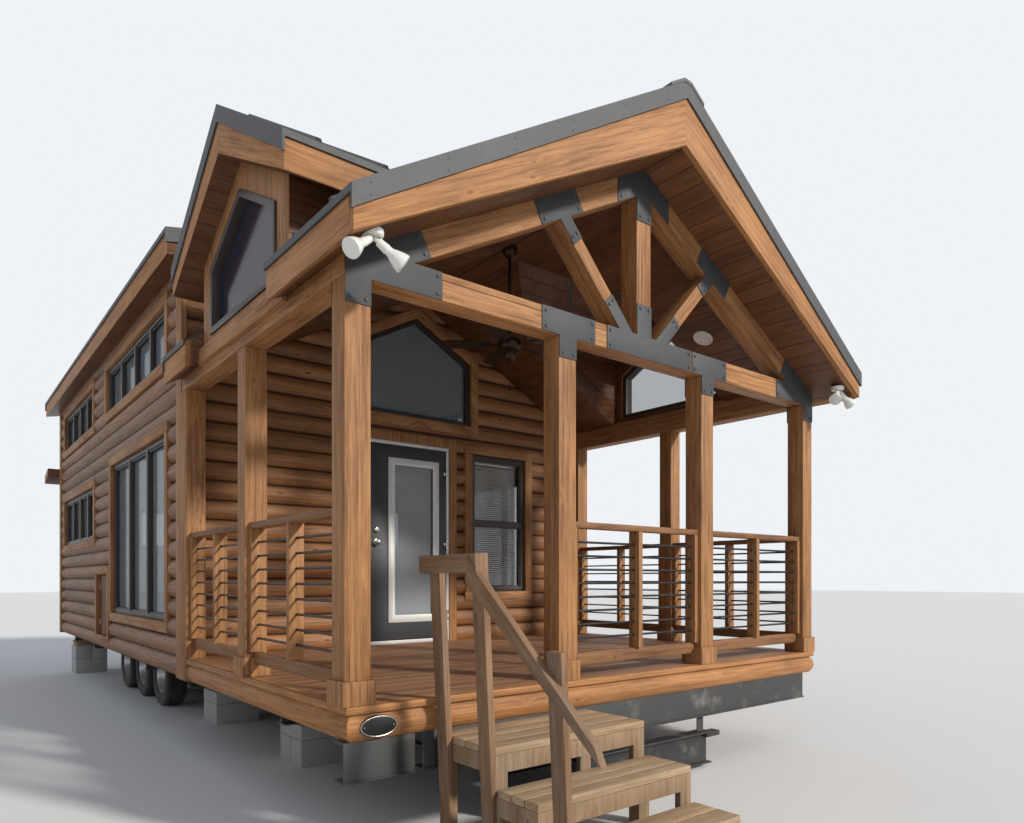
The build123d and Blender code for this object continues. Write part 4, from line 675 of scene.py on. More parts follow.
class Bench:
    """Edit-mode steps that every piece is made with."""

    @staticmethod
    def clear() -> None:
        """Leave edit mode, with nothing selected."""
        if bpy.context.object and bpy.context.object.mode != "OBJECT":
            bpy.ops.object.mode_set(mode="OBJECT")
        bpy.ops.object.select_all(action="DESELECT")

    @staticmethod
    def pick(piece: bpy.types.Object) -> None:
        """Make a piece the only one selected.

        Args:
            piece: Piece to select.
        """
        Bench.clear()
        piece.select_set(True)
        bpy.context.view_layer.objects.active = piece

    @staticmethod
    def edit(piece: bpy.types.Object) -> None:
        """Open a piece in edit mode with all of its mesh selected.

        Args:
            piece: Piece to open.
        """
        Bench.pick(piece)
        bpy.ops.object.mode_set(mode="EDIT")
        bpy.ops.mesh.select_mode(type="VERT")
        bpy.ops.mesh.select_all(action="SELECT")

    @staticmethod
    def pick_vertices(piece: bpy.types.Object, chosen: Callable[[Vector], bool]) -> None:
        """Select, in edit mode, the corners of an open piece that pass a test.

        Args:
            piece: Piece that is open in edit mode.
            chosen: Test on a corner's place.
        """
        bpy.ops.mesh.select_mode(type="VERT")
        bpy.ops.mesh.select_all(action="DESELECT")
        bpy.ops.object.mode_set(mode="OBJECT")
        for vertex in piece.data.vertices:
            vertex.select = chosen(vertex.co)
        bpy.ops.object.mode_set(mode="EDIT")

    @staticmethod
    def pick_edges(piece: bpy.types.Object, chosen: Callable[[Vector, Vector], bool]) -> None:
        """Select, in edit mode, the edges of an open piece that pass a test.

        Args:
            piece: Piece that is open in edit mode.
            chosen: Test on the places of an edge's ends.
        """
        bpy.ops.mesh.select_mode(type="EDGE")
        bpy.ops.mesh.select_all(action="DESELECT")
        bpy.ops.object.mode_set(mode="OBJECT")
        mesh = piece.data
        for edge in mesh.edges:
            edge.select = chosen(*(mesh.vertices[i].co for i in edge.vertices))
        bpy.ops.object.mode_set(mode="EDIT")

    @staticmethod
    def done(piece: bpy.types.Object, angle: float = 35.0) -> bpy.types.Object:
        """Leave edit mode and shade smooth across edges blunter than an angle.

        Args:
            piece: Piece that is done.
            angle: The angle, in degrees.

        Returns:
            The piece.
        """
        Bench.pick(piece)
        bpy.ops.object.shade_smooth_by_angle(angle=math.radians(angle))
        return piece

    @staticmethod
    def box(name: str, low: Sequence[float], high: Sequence[float], bevel: float = 0.003) -> bpy.types.Object:
        """Block between two corners, with its edges eased.

        Args:
            name: Name of the piece.
            low: Lowest corner.
            high: Highest corner.
            bevel: Width of the eased edges.

        Returns:
            The block.
        """
        Bench.clear()
        low, high = Vector(low), Vector(high)
        bpy.ops.mesh.primitive_cube_add(size=1.0, location=(low + high) / 2, scale=high - low)
        piece = bpy.context.object
        piece.name = name
        bpy.ops.object.transform_apply(location=True, rotation=True, scale=True)
        if bevel:
            Bench.edit(piece)
            bpy.ops.mesh.bevel(offset=bevel, segments=2, affect="EDGES")
        return Bench.done(piece)

    @staticmethod
    def turned(name: str, stations: Sequence[tuple[float, float]], sides: int = 24,
               place: Matrix | None = None) -> bpy.types.Object:
        """Turning about Z, grown from a disc by extruding and scaling its face.

        Args:
            name: Name of the piece.
            stations: Height and radius of each ring, from the bottom up.
            sides: Faces round it.
            place: Where the turning goes once it is made.

        Returns:
            The closed turning.
        """
        Bench.clear()
        height, radius = stations[0]
        bpy.ops.mesh.primitive_circle_add(vertices=sides, radius=radius, fill_type="NGON",
                                          location=(0.0, 0.0, height))
        piece = bpy.context.object
        piece.name = name
        bpy.ops.object.transform_apply(location=True, rotation=True, scale=True)
        Bench.edit(piece)
        for next_height, next_radius in stations[1:]:
            rise = (0.0, 0.0, next_height - height)
            bpy.ops.mesh.extrude_region_move(TRANSFORM_OT_translate={"value": rise})
            share = next_radius / radius
            bpy.ops.transform.resize(value=(share, share, 1.0), center_override=(0.0, 0.0, next_height))
            height, radius = next_height, next_radius
        bpy.ops.mesh.select_all(action="SELECT")
        bpy.ops.mesh.normals_make_consistent(inside=False)
        bpy.ops.object.mode_set(mode="OBJECT")
        if place is not None:
            piece.data.transform(place)
        return Bench.done(piece)

    @staticmethod
    def copies(piece: bpy.types.Object, moves: Iterable[Matrix]) -> list[bpy.types.Object]:
        """Copies of a piece, each with its own mesh, and the piece itself taken away.

        Args:
            piece: Piece to copy.
            moves: Move of each copy from where the piece is.

        Returns:
            The copies.
        """
        made = []
        for move in moves:
            copy = bpy.data.objects.new(piece.name, piece.data.copy())
            copy.data.transform(move)
            bpy.context.scene.collection.objects.link(copy)
            made.append(copy)
        bpy.data.objects.remove(piece)
        return made

    @staticmethod
    def join(name: str, pieces: Sequence[bpy.types.Object]) -> bpy.types.Object:
        """Several pieces as one object.

        Args:
            name: Name of the joined piece.
            pieces: Pieces to join.

        Returns:
            The joined piece.
        """
        Bench.clear()
        for piece in pieces:
            piece.select_set(True)
        bpy.context.view_layer.objects.active = pieces[0]
        bpy.ops.object.join()
        pieces[0].name = name
        return pieces[0]

    @staticmethod
    def keep(piece: bpy.types.Object, inside: Callable[[Vector], bool]) -> bpy.types.Object:
        """Take away what of a piece lies outside a part of space.

        Args:
            piece: Piece to thin out.
            inside: Test that a corner passes to stay.

        Returns:
            The piece.
        """
        Bench.edit(piece)
        Bench.pick_vertices(piece, lambda at: not inside(at))
        bpy.ops.mesh.delete(type="VERT")
        return Bench.done(piece)

    @staticmethod
    def from_node(node: str, name: str, ease: float = 0.0) -> bpy.types.Object:
        """Copy of a node's mesh, merged, with its edges eased.

        Args:
            node: Name of the node.
            name: Name of the copy.
            ease: Width of the eased edges, or zero for sharp ones.

        Returns:
            The copy.
        """
        piece = bpy.data.objects.new(name, bpy.data.objects[node].data.copy())
        bpy.context.scene.collection.objects.link(piece)
        Bench.edit(piece)
        bpy.ops.mesh.customdata_custom_splitnormals_clear()
        bpy.ops.mesh.remove_doubles(threshold=WELD)
        bpy.ops.mesh.dissolve_limited(angle_limit=math.radians(FLAT_ANGLE))
        bpy.ops.object.mode_set(mode="OBJECT")
        if ease:
            modifier = piece.modifiers.new("ease", "BEVEL")
            modifier.width = ease
            modifier.segments = 2
            modifier.limit_method = "ANGLE"
            modifier.angle_limit = math.radians(SHARP_ANGLE)
            modifier.use_clamp_overlap = True
            bpy.ops.object.modifier_apply(modifier="ease")
        return Bench.done(piece, SMOOTH_ANGLE)


def dress(piece: bpy.types.Object, finish: Finish, body: str = "house",
          stands_for: Sequence[str] = ()) -> bpy.types.Object:
    """Give a piece its finish and its body.

    Args:
        piece: Piece to dress.
        finish: Finish of its surface.
        body: Body that it rides on.
        stands_for: Nodes that it takes the place of.

    Returns:
        The piece.
    """
    piece.data.materials.clear()
    piece.data.materials.append(finish.material())
    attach(piece, body)
    if stands_for:
        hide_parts(*stands_for)
    log.info("%s: %d faces", piece.name, len(piece.data.polygons))
    return piece


def stand_in(node: str, finish: Finish, ease: float = 0.0, name: str = "",
             body: str = "house") -> bpy.types.Object:
    """Copy of a node with eased edges, dressed to take the node's place.

    Args:
        node: Name of the node.
        finish: Finish of the copy.
        ease: Width of the eased edges, or zero for sharp ones.
        name: Name of the copy, where it isn't the node's with "_eased".
        body: Body that it rides on.

    Returns:
        The copy.
    """
    return dress(Bench.from_node(node, name or f"{node}_eased", ease), finish, body, [node])


def facing(direction: Vector) -> Matrix:
    """Turn that brings the Z axis to a direction."""
    return direction.to_track_quat("Z", "Y").to_matrix().to_4x4()


def coat(node: str, finish: Finish) -> None:
    """Give a node that stays as it is its finish.

    Args:
        node: Name of the node.
        finish: Finish of its surface.
    """
    materials = bpy.data.objects[node].data.materials
    materials.clear()
    materials.append(finish.material())


def second_finish(piece: bpy.types.Object, finish: Finish,
                  chosen: Callable[[bpy.types.MeshPolygon], bool]) -> None:
    """Give some faces of a piece another finish.

    Args:
        piece: Piece to change.
        finish: Finish for the chosen faces.
        chosen: Test that a face passes to get it.
    """
    piece.data.materials.append(finish.material())
    number = len(piece.data.materials) - 1
    for face in piece.data.polygons:
        if chosen(face):
            face.material_index = number


def studs(name: str, places: Sequence[Vector], out: Vector, radius: float, height: float,
          sides: int = 6) -> bpy.types.Object:
    """Bolt or screw heads on one face.

    Args:
        name: Name of the joined heads.
        places: Where each head sits.
        out: Direction that the face looks in.
        radius: Radius of a head.
        height: How far it stands out.
        sides: Faces round it.

    Returns:
        The heads as one piece.
    """
    flange = radius * 1.25
    stations = [(0.0, flange), (height * 0.25, flange), (height * 0.3, radius), (height, radius * 0.8)]
    head = Bench.turned(name, stations, sides)
    moves = [Matrix.Translation(place) @ facing(out) for place in places]
    return Bench.join(name, Bench.copies(head, moves))


# The house, one class for each sub-assembly

@dataclass
class LogWalls:
    """Half-log walls all round, smoothed across each course."""

    side_walls: tuple[str, ...] = ("left_wall", "right_wall")
    end_walls: tuple[str, ...] = ("rear_wall", "front_wall_left", "front_wall_right", "front_gable")

    def build(self) -> None:
        """Copy each wall, smooth its logs and dress it."""
        for walls, finish in ((self.side_walls, LOGS_SIDE_SHADED), (self.end_walls, LOGS_END)):
            for node in walls:
                stand_in(node, finish, name=f"{node}_logs")


@dataclass
class Joinery:
    """Stained posts, beams and boards with eased edges."""

    ease: float = 0.005
    rim_edge: float = 0.070
    cheek: float = 0.100
    rake: float = 0.060
    timbers: dict[str, Finish] = field(default_factory=lambda: {
        "porch_posts": STAIN_Z, "post_collars": STAIN_Z, "tie_beam": TIE,
        "truss_chords": STAIN_SLOPE, "king_post": STAIN_Z, "truss_webs": STAIN_WEB,
        "side_beams": STAIN_Y, "corner_boards": STAIN_Z, "dormer_walls": STAIN_Z, "porch_rim": RIM_X,
        "porch_fascia": RAKE_SLOPE,
    })

    def build(self) -> None:
        """Ease and dress each timber, give the boards round a corner a grain of their own, and give the inner
        faces of the dormer cheeks the dark ceiling boards as painted shade.
        """
        made = {node: stand_in(node, finish, self.ease)
                for node, finish in self.timbers.items()}
        edge, inner = HOUSE.half_width - self.rim_edge, HOUSE.half_width - self.cheek
        behind = HOUSE.at(0.0, HOUSE.rake + self.rake, 0.0).y
        second_finish(made["porch_rim"], RIM_Y, lambda face: abs(face.center.x) > edge)
        # Painted shade: the inner faces of the dormer cheeks take the dark ceiling boards.
        second_finish(made["dormer_walls"], DORMER_CEILING, lambda face: abs(face.center.x) < inner)
        second_finish(made["porch_fascia"], RIM_Y, lambda face: face.center.y > behind)


@dataclass
class TrussPlates:
    """Steel plates over the joints of the truss, with their bolts."""

    plate: float = 0.006
    ease: float = 0.0015
    bolt: float = 0.010
    head: float = 0.007
    inset: float = 0.028
    chord_depth: float = 0.159
    post_drop: float = 0.130
    middle: tuple[float, float] = (-0.351, 0.495)
    middle_rise: float = 0.204
    post_plates: tuple[tuple[float, float, float], ...] = ((-1.0, 0.230, 0.206), (1.0, 0.180, 0.222))
    corner_plate: float = 0.550
    corner_chord: float = 0.484
    chord_plate: tuple[float, float] = (0.560, 0.890)
    chord_shares: tuple[float, float] = (0.2, 0.8)
    peak_reach: float = 0.250
    peak_drop: float = 0.160
    peak_edge: float = 0.030
    web_foot: tuple[float, float] = (0.120, -0.060)
    web_run: tuple[float, float] = (0.730, 0.770)
    web_shares: tuple[float, float] = (0.27, 0.70)
    web_spread: float = 0.022

    def chord(self, x: float, share: float) -> tuple[float, float]:
        """Point of a chord, on a line square to it.

        Args:
            x: Where the line leaves the chord's lower edge.
            share: Part of the way along the line to the upper edge.

        Returns:
            The point, across and up.
        """
        slope = HOUSE.soffit_slope
        square = self.chord_depth * slope / (1 + slope ** 2)
        low = HOUSE.ceiling - self.chord_depth - slope * abs(x)
        return (math.copysign(abs(x) + square * share, x), low + (self.chord_depth - slope * square) * share)

    def web(self, side: float, share: float, offset: float) -> tuple[float, float]:
        """Point on a web.

        Args:
            side: Sign of the hand that it is on.
            share: Part of the way up it.
            offset: Distance across it from its middle.

        Returns:
            The point, across and up.
        """
        run = Vector((side * self.web_run[0], self.web_run[1]))
        across = Vector((-run.y, run.x)).normalized() * offset
        foot = Vector((side * self.web_foot[0], HOUSE.beam_under + HOUSE.tie_depth + self.web_foot[1]))
        return tuple(foot + run * share + across)

    def hand(self, side: float, inward: float, outward: float) -> list[tuple[float, float]]:
        """Places of the bolts on one hand of the truss, across and up.

        Args:
            side: Sign of the hand.
            inward: Reach of the plate on the middle post, towards the ridge.
            outward: Its reach towards the corner.

        Returns:
            One pair for each bolt.
        """
        low, high = HOUSE.beam_under + self.inset, HOUSE.beam_under + HOUSE.tie_depth - self.inset
        foot, spread = HOUSE.beam_under - self.post_drop + self.inset, HOUSE.post / 2 - self.inset
        ends = (HOUSE.mid_post - inward + self.inset, HOUSE.mid_post + outward - self.inset)
        places = [(side * x, z) for x in ends for z in (low, high)]
        for post in (HOUSE.mid_post, HOUSE.half_width - HOUSE.post / 2):
            places += [(side * (post + x), foot) for x in (-spread, spread)]
        places += [(side * (HOUSE.half_width - self.corner_plate + self.inset), z) for z in (low, high)]
        start, end = self.chord_plate
        for x in (start + self.inset, end - self.inset, HOUSE.half_width - self.corner_chord + self.inset):
            places += [self.chord(side * x, share) for share in self.chord_shares]
        x = self.peak_reach - self.inset
        top = HOUSE.ceiling - HOUSE.soffit_slope * x
        places += [(side * x, top - drop) for drop in (self.peak_edge, self.chord_depth - self.peak_edge)]
        places += [self.web(side, share, offset) for share in self.web_shares
                   for offset in (-self.web_spread, self.web_spread)]
        return places

    def rows(self) -> list[tuple[float, float]]:
        """Places of the bolts on one face of the truss, across and up.

        Returns:
            One pair for each bolt.
        """
        low, high = HOUSE.beam_under + self.inset, HOUSE.beam_under + HOUSE.tie_depth - self.inset
        spread = HOUSE.post / 2 - self.inset
        ends = (self.middle[0] + self.inset, self.middle[1] - self.inset)
        places = [(x, z) for x in ends for z in (low, high)]
        for z in (high + self.middle_rise, HOUSE.ceiling - self.chord_depth - self.peak_drop):
            places += [(x, z) for x in (-spread, spread)]
        for plate in self.post_plates:
            places += self.hand(*plate)
        return places

    def build(self) -> None:
        """Ease the plates and set bolts on both faces."""
        stand_in("truss_plates", BLACK_STEEL, self.ease)
        front = HOUSE.post_setback - self.plate
        back = HOUSE.post_setback + HOUSE.post + self.plate
        for name, y, way in (("front", front, -1.0), ("back", back, 1.0)):
            places = [HOUSE.at(x, y, z) for x, z in self.rows()]
            heads = studs(f"truss_bolts_{name}", places, Vector((0.0, way, 0.0)), self.bolt, self.head)
            dress(heads, BLACK_STEEL)


@dataclass
class Railings:
    """Timber railings with thin round bars between their stiles."""

    top: float = 0.960
    thick: float = 0.038
    width: float = 0.089
    low: float = 0.079
    low_height: float = 0.076
    bars: int = 8
    bar: float = 0.0075
    bar_sides: int = 10
    ease: float = 0.003
    top_ease: float = 0.004

    def stretch(self, name: str, start: float, end: float) -> tuple[bpy.types.Object, bpy.types.Object]:
        """One panel and its bars, along X from start to end, with its middle on Y = 0.

        Args:
            name: Name of the panel.
            start: Where it starts.
            end: Where it ends.

        Returns:
            The timber and the bars.
        """
        base, high = self.low + self.low_height, self.top - self.thick
        wide, thin = self.width / 2, self.thick / 2
        parts = [
            Bench.box(name, (start, -wide, high), (end, wide, self.top), self.top_ease),
            Bench.box(name, (start, -thin, self.low), (end, thin, base), self.ease),
        ]
        for x in (start + thin, (start + end) / 2, end - thin):
            parts.append(Bench.box(name, (x - thin, -wide, base), (x + thin, wide, high), self.ease))
        pitch = (high - base) / (self.bars + 1)
        along = Matrix.Rotation(math.pi / 2, 4, "Y")
        bar = Bench.turned(f"{name}_bars", [(start, self.bar), (end, self.bar)], self.bar_sides, along)
        moves = [Matrix.Translation((0.0, 0.0, base + pitch * (i + 1))) for i in range(self.bars)]
        return Bench.join(name, parts), Bench.join(f"{name}_bars", Bench.copies(bar, moves))

    def build(self) -> None:
        """Make each panel once, place its copies and dress them."""
        half, corner = HOUSE.post / 2, HOUSE.half_width - HOUSE.post / 2
        across = [HOUSE.move(0.0, HOUSE.post_setback + half, 0.0)]
        quarter = Matrix.Rotation(math.pi / 2, 4, "Z")
        along = [HOUSE.move(side * corner, 0.0, 0.0) @ quarter for side in SIDES]
        base = HOUSE.at(0.0, 0.0, self.low + self.low_height).z
        high = HOUSE.at(0.0, 0.0, self.top - self.thick).z
        front, sides = ("front_railings", RAIL_X, across), ("side_railings", RAIL_Y, along)
        for name, start, end, (node, finish, moves) in (
            ("front_rail_middle", -HOUSE.mid_post + half, HOUSE.mid_post - half, front),
            ("front_rail_right", HOUSE.mid_post + half, corner - half, front),
            ("side_rail_front", HOUSE.post_setback + HOUSE.post, HOUSE.side_post - half, sides),
            ("side_rail_rear", HOUSE.side_post + half, HOUSE.porch - HOUSE.post, sides),
        ):
            timber, bars = self.stretch(name, start, end)
            timber = Bench.join(name, Bench.copies(timber, moves))
            bars = Bench.join(f"{name}_bars", Bench.copies(bars, moves))
            dress(timber, finish, stands_for=[node])
            second_finish(timber, STAIN_Z, lambda face: base < face.center.z < high)
            dress(bars, RAIL_STEEL, stands_for=[node])


@dataclass
class Deck:
    """Porch floor: separate boards, and the joists under them."""

    boards: int = 19
    gap: float = 0.005
    thick: float = 0.038
    back: float = 0.068
    side_gap: float = 0.002
    ease: float = 0.003
    joist_ease: float = 0.002

    def build(self) -> None:
        """Lay the boards side by side and dress what carries them."""
        start, end = self.back, HOUSE.porch + HOUSE.log_bulge
        pitch = (end - start) / self.boards
        reach = HOUSE.half_width - self.back - self.side_gap
        low, high = HOUSE.at(-reach, start, -self.thick), HOUSE.at(reach, start + pitch - self.gap, 0.0)
        board = Bench.box("porch_boards", low, high, self.ease)
        moves = [Matrix.Translation((0.0, i * pitch, 0.0)) for i in range(self.boards)]
        deck = Bench.join("porch_boards", Bench.copies(board, moves))
        dress(deck, DECK, stands_for=["porch_deck"])
        stand_in("porch_joists", JOIST, self.joist_ease)


@dataclass
class Badge:
    """Bare oval plate on the rim, with a raised edge and two screws."""

    edge: float = 0.006
    ease: float = 0.0012
    wire: float = 0.045
    flatness: float = 0.05
    screw: float = 0.0035
    screw_height: float = 0.003

    def build(self) -> None:
        """Ease the plate, raise its edge and add its screws."""
        stand_in("badge_plate", BADGE, self.ease)
        low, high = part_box("badge_plate")
        middle = (low + high) / 2
        half = (high - low) / 2
        Bench.clear()
        bpy.ops.mesh.primitive_torus_add(major_segments=64, minor_segments=8, major_radius=1.0,
                                         minor_radius=self.wire)
        ring = bpy.context.object
        ring.name = "badge_edge"
        shape = Matrix.Diagonal((half.x - self.edge, half.z - self.edge, self.flatness, 1.0))
        turn = Matrix.Rotation(math.pi / 2, 4, "X")
        ring.data.transform(Matrix.Translation((middle.x, low.y + self.ease, middle.z)) @ turn @ shape)
        dress(Bench.done(ring), BADGE_EDGE)
        reach = half.x - 4 * self.edge
        places = [Vector((middle.x + side * reach, low.y, middle.z)) for side in SIDES]
        screws = studs("badge_screws", places, Vector((0.0, -1.0, 0.0)), self.screw, self.screw_height, 10)
        dress(screws, BADGE_EDGE)


@dataclass
class Roofs:
    """Boarded roofs under ribbed sheet, with ridge caps and screwed edge trims."""

    rib_pitch: float = 0.406
    rib_height: float = 0.018
    rib_base: float = 0.046
    rib_top: float = 0.020
    trim: float = 0.012
    drop: float = 0.110
    drip: float = 0.036
    cap_reach: float = 0.16
    cap_lift: float = 0.021
    cap_lap: float = 0.004
    sunk: float = 0.0005
    valley: float = 0.266
    ridge_gap: float = 0.040
    valley_gap: float = 0.030
    valley_start: float = 0.050
    sheet: float = 0.020
    screw_rows: tuple[float, float] = (0.030, 0.085)
    screw_start: float = 0.18
    screw_pitch: float = 0.40
    screw_count: int = 6
    screw: float = 0.005
    screw_height: float = 0.003
    ease: float = 0.002
    rake_ease: float = 0.004
    metal: tuple[str, ...] = ("porch_roof_metal", "dormer_roof_metal", "main_roof_metal", "rear_pent_metal")

    def rib(self) -> bpy.types.Object:
        """Rib one metre long along X, narrowed towards its top.

        Returns:
            The rib.
        """
        half = self.rib_base / 2
        piece = Bench.box("roof_rib", (0.0, -half, 0.0), (1.0, half, self.rib_height), 0.0)
        Bench.edit(piece)
        Bench.pick_vertices(piece, lambda at: at.z > self.rib_height / 2)
        taper = (1.0, self.rib_top / self.rib_base, 1.0)
        bpy.ops.transform.resize(value=taper, center_override=(0.5, 0.0, 0.0))
        return Bench.done(piece, FOLD_ANGLE)

    def lay(self, start: Vector, end: Vector) -> Matrix:
        """Move of a rib onto a slope.

        Args:
            start: Upper end of its run.
            end: Lower end of its run.

        Returns:
            The move, which also stretches the rib to the run.
        """
        run = end - start
        level = Vector((0.0, 0.0, 1.0)).cross(run).normalized()
        up = run.cross(level).normalized()
        return Matrix.Translation(start) @ Matrix((run, level, up)).transposed().to_4x4()

    def spread(self, start: float, end: float) -> list[float]:
        """Places of ribs between two edges, at an even pitch close to the usual one.

        Args:
            start: First edge.
            end: Last edge.

        Returns:
            The place of each rib's middle.
        """
        count = max(1, round((end - start) / self.rib_pitch))
        pitch = (end - start) / count
        return [start + pitch * (i + 0.5) for i in range(count)]

    def dormer_ribs(self) -> list[Matrix]:
        """Ribs of the dormers, from their ridges down to an eave or a valley.

        Returns:
            The move of each rib.
        """
        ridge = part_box("dormer_roof_metal")[1].z - HOUSE.deck
        moves = []
        for x in self.spread(self.valley + self.valley_start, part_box("dormer_roof_metal")[1].x):
            reach = min(HOUSE.dormer_half, x - self.valley - self.valley_gap)
            for side in SIDES:
                for way in SIDES:
                    points = [HOUSE.at(side * x, HOUSE.dormer + way * away, ridge - HOUSE.roof_slope * away)
                              for away in (self.ridge_gap, reach)]
                    moves.append(self.lay(*points))
        return moves

    def rear_ribs(self) -> list[Matrix]:
        """Ribs of the strip across the rear wall.

        Returns:
            The move of each rib.
        """
        low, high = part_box("rear_pent_metal")
        top, fall = high.z - HOUSE.deck, (high.z - low.z - self.sheet) / (high.y - low.y)
        start, end = low.y - HOUSE.origin + HOUSE.log_bulge, high.y - HOUSE.origin - self.trim
        moves = []
        for x in self.spread(low.x, high.x):
            points = [HOUSE.at(x, y, top - fall * (y - low.y + HOUSE.origin)) for y in (start, end)]
            moves.append(self.lay(*points))
        return moves

    def cap(self, name: str, node: str, slope: float) -> None:
        """Folded cap over the ridge of a sheet, no higher than the sheet itself.

        Args:
            name: Name of the cap.
            node: Node of the sheet.
            slope: Fall of its slopes.
        """
        low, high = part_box(node)
        flat = self.cap_lift / slope
        reach = max(self.cap_reach, flat + 0.05)
        top = high.z - self.sunk
        length = (low.y - self.cap_lap, high.y - self.sunk)
        piece = Bench.box(name, (-reach, length[0], top - self.cap_lift), (reach, length[1], top), 0.0)
        Bench.edit(piece)
        for x in (-flat, flat):
            bpy.ops.mesh.select_all(action="SELECT")
            bpy.ops.mesh.bisect(plane_co=(x, 0.0, 0.0), plane_no=(1.0, 0.0, 0.0))
        Bench.pick_vertices(piece, lambda at: abs(at.x) > reach - 0.001)
        bpy.ops.transform.translate(value=(0.0, 0.0, -(reach - flat) * slope))
        Bench.done(piece, FOLD_ANGLE)
        dress(piece, TRIM_SHEET)

    def narrow_eaves(self, piece: bpy.types.Object, node: str) -> None:
        """Shorten the turned-down edge along the eaves of a sheet, so that the boards under it show.

        Args:
            piece: Copy of the sheet.
            node: Node of the sheet.
        """
        low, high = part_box(node)
        dormers = node == "dormer_roof_metal"
        out, run = (1, 0) if dormers else (0, 1)
        middle = HOUSE.at(0.0, HOUSE.dormer, 0.0).y if dormers else 0.0
        eave = high[out] - middle - self.trim - self.sunk
        ends = (low[run] + self.trim + 0.001, high[run] - self.trim - 0.001)
        normal = (1.0, 0.0, 0.0) if dormers else (0.0, 1.0, 0.0)
        for end, step in ((ends[0], self.sunk), (ends[1], -self.sunk)):
            for place in (end, end + step):
                Bench.edit(piece)
                bpy.ops.mesh.bisect(plane_co=[c * place for c in normal], plane_no=normal)
        Bench.edit(piece)
        Bench.pick_vertices(piece, lambda at: ends[0] + 0.0003 < at[run] < ends[1] - 0.0003
                            and abs(at[out] - middle) > eave and at.z < low.z + 0.004)
        bpy.ops.transform.translate(value=(0.0, 0.0, self.drop - self.drip))
        Bench.done(piece, SMOOTH_ANGLE)

    def screws(self) -> list[Vector]:
        """Places of screws along the front trims of the porch roof.

        Returns:
            One place for each screw.
        """
        front = HOUSE.rake - self.trim
        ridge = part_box("porch_roof_metal")[1].z - HOUSE.deck
        places = []
        for side in SIDES:
            for i in range(self.screw_count):
                x = self.screw_start + i * self.screw_pitch
                for drop in self.screw_rows:
                    places.append(HOUSE.at(side * x, front, ridge - HOUSE.roof_slope * x - drop))
        return places

    def build(self) -> None:
        """Dress the boards and sheets, then lay the ribs, caps and screws."""
        for node in self.metal:
            piece = Bench.from_node(node, f"{node}_eased")
            if node != "rear_pent_metal":
                self.narrow_eaves(piece, node)
            dress(piece, ROOF_SHEET, stands_for=[node])
        ribs = [*self.dormer_ribs(), *self.rear_ribs()]
        dress(Bench.join("roof_ribs", Bench.copies(self.rib(), ribs)), ROOF_SHEET)
        self.cap("porch_ridge_cap", "porch_roof_metal", HOUSE.roof_slope)
        self.cap("main_ridge_cap", "main_roof_metal", HOUSE.main_slope)
        heads = studs("trim_screws", self.screws(), Vector((0.0, -1.0, 0.0)), self.screw, self.screw_height)
        dress(heads, TRIM_SHEET)
        # Painted shade: the undersides of the roof boards take the darkened ceiling boards, while the outer
        # edges of the same boards take the rim and rake stains.
        for node in ("porch_roof", "main_roof", "rear_pent_roof"):
            piece = stand_in(node, CEILING, self.ease, f"{node}_boards")
            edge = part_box(node)[1].x - self.ease
            second_finish(piece, RIM_Y, lambda face: abs(face.center.x) > edge)
        piece = stand_in("dormer_roofs", DORMER_CEILING, self.rake_ease, "dormer_roofs_boards")
        edge = HOUSE.half_width + 0.05
        second_finish(piece, RAKE_DORMER, lambda face: abs(face.center.x) > edge and abs(face.normal.z) < 0.6)
        second_finish(piece, RIM_X, lambda face: abs(face.normal.y) > 0.9)


@dataclass
class CeilingLights:
    """Flush round lights in the slopes of the porch ceiling."""

    x: float = 1.314
    y: float = 0.518
    radius: float = 0.082

    def build(self) -> None:
        """Turn one trim ring with its lens and set a copy in each slope."""
        r = self.radius
        stations = [(-0.004, r), (0.004, r), (0.009, r * 0.93), (0.009, r * 0.80), (0.003, r * 0.74),
                    (0.005, r * 0.4), (0.006, r * 0.05)]
        disc = Bench.turned("ceiling_lights", stations, 40)
        moves = []
        for side in SIDES:
            down = Vector((-side * HOUSE.soffit_slope, 0.0, -1.0))
            place = HOUSE.move(side * self.x, self.y, HOUSE.ceiling - HOUSE.soffit_slope * self.x)
            moves.append(place @ facing(down))
        dress(Bench.join("ceiling_lights", Bench.copies(disc, moves)), LAMP_WHITE)


@dataclass
class WindowRow:
    """One row of windows in a wall: its opening and how many panes it has."""

    wall: str
    start: float
    length: float
    sill: float
    head: float
    panes: int
    rows: int = 1


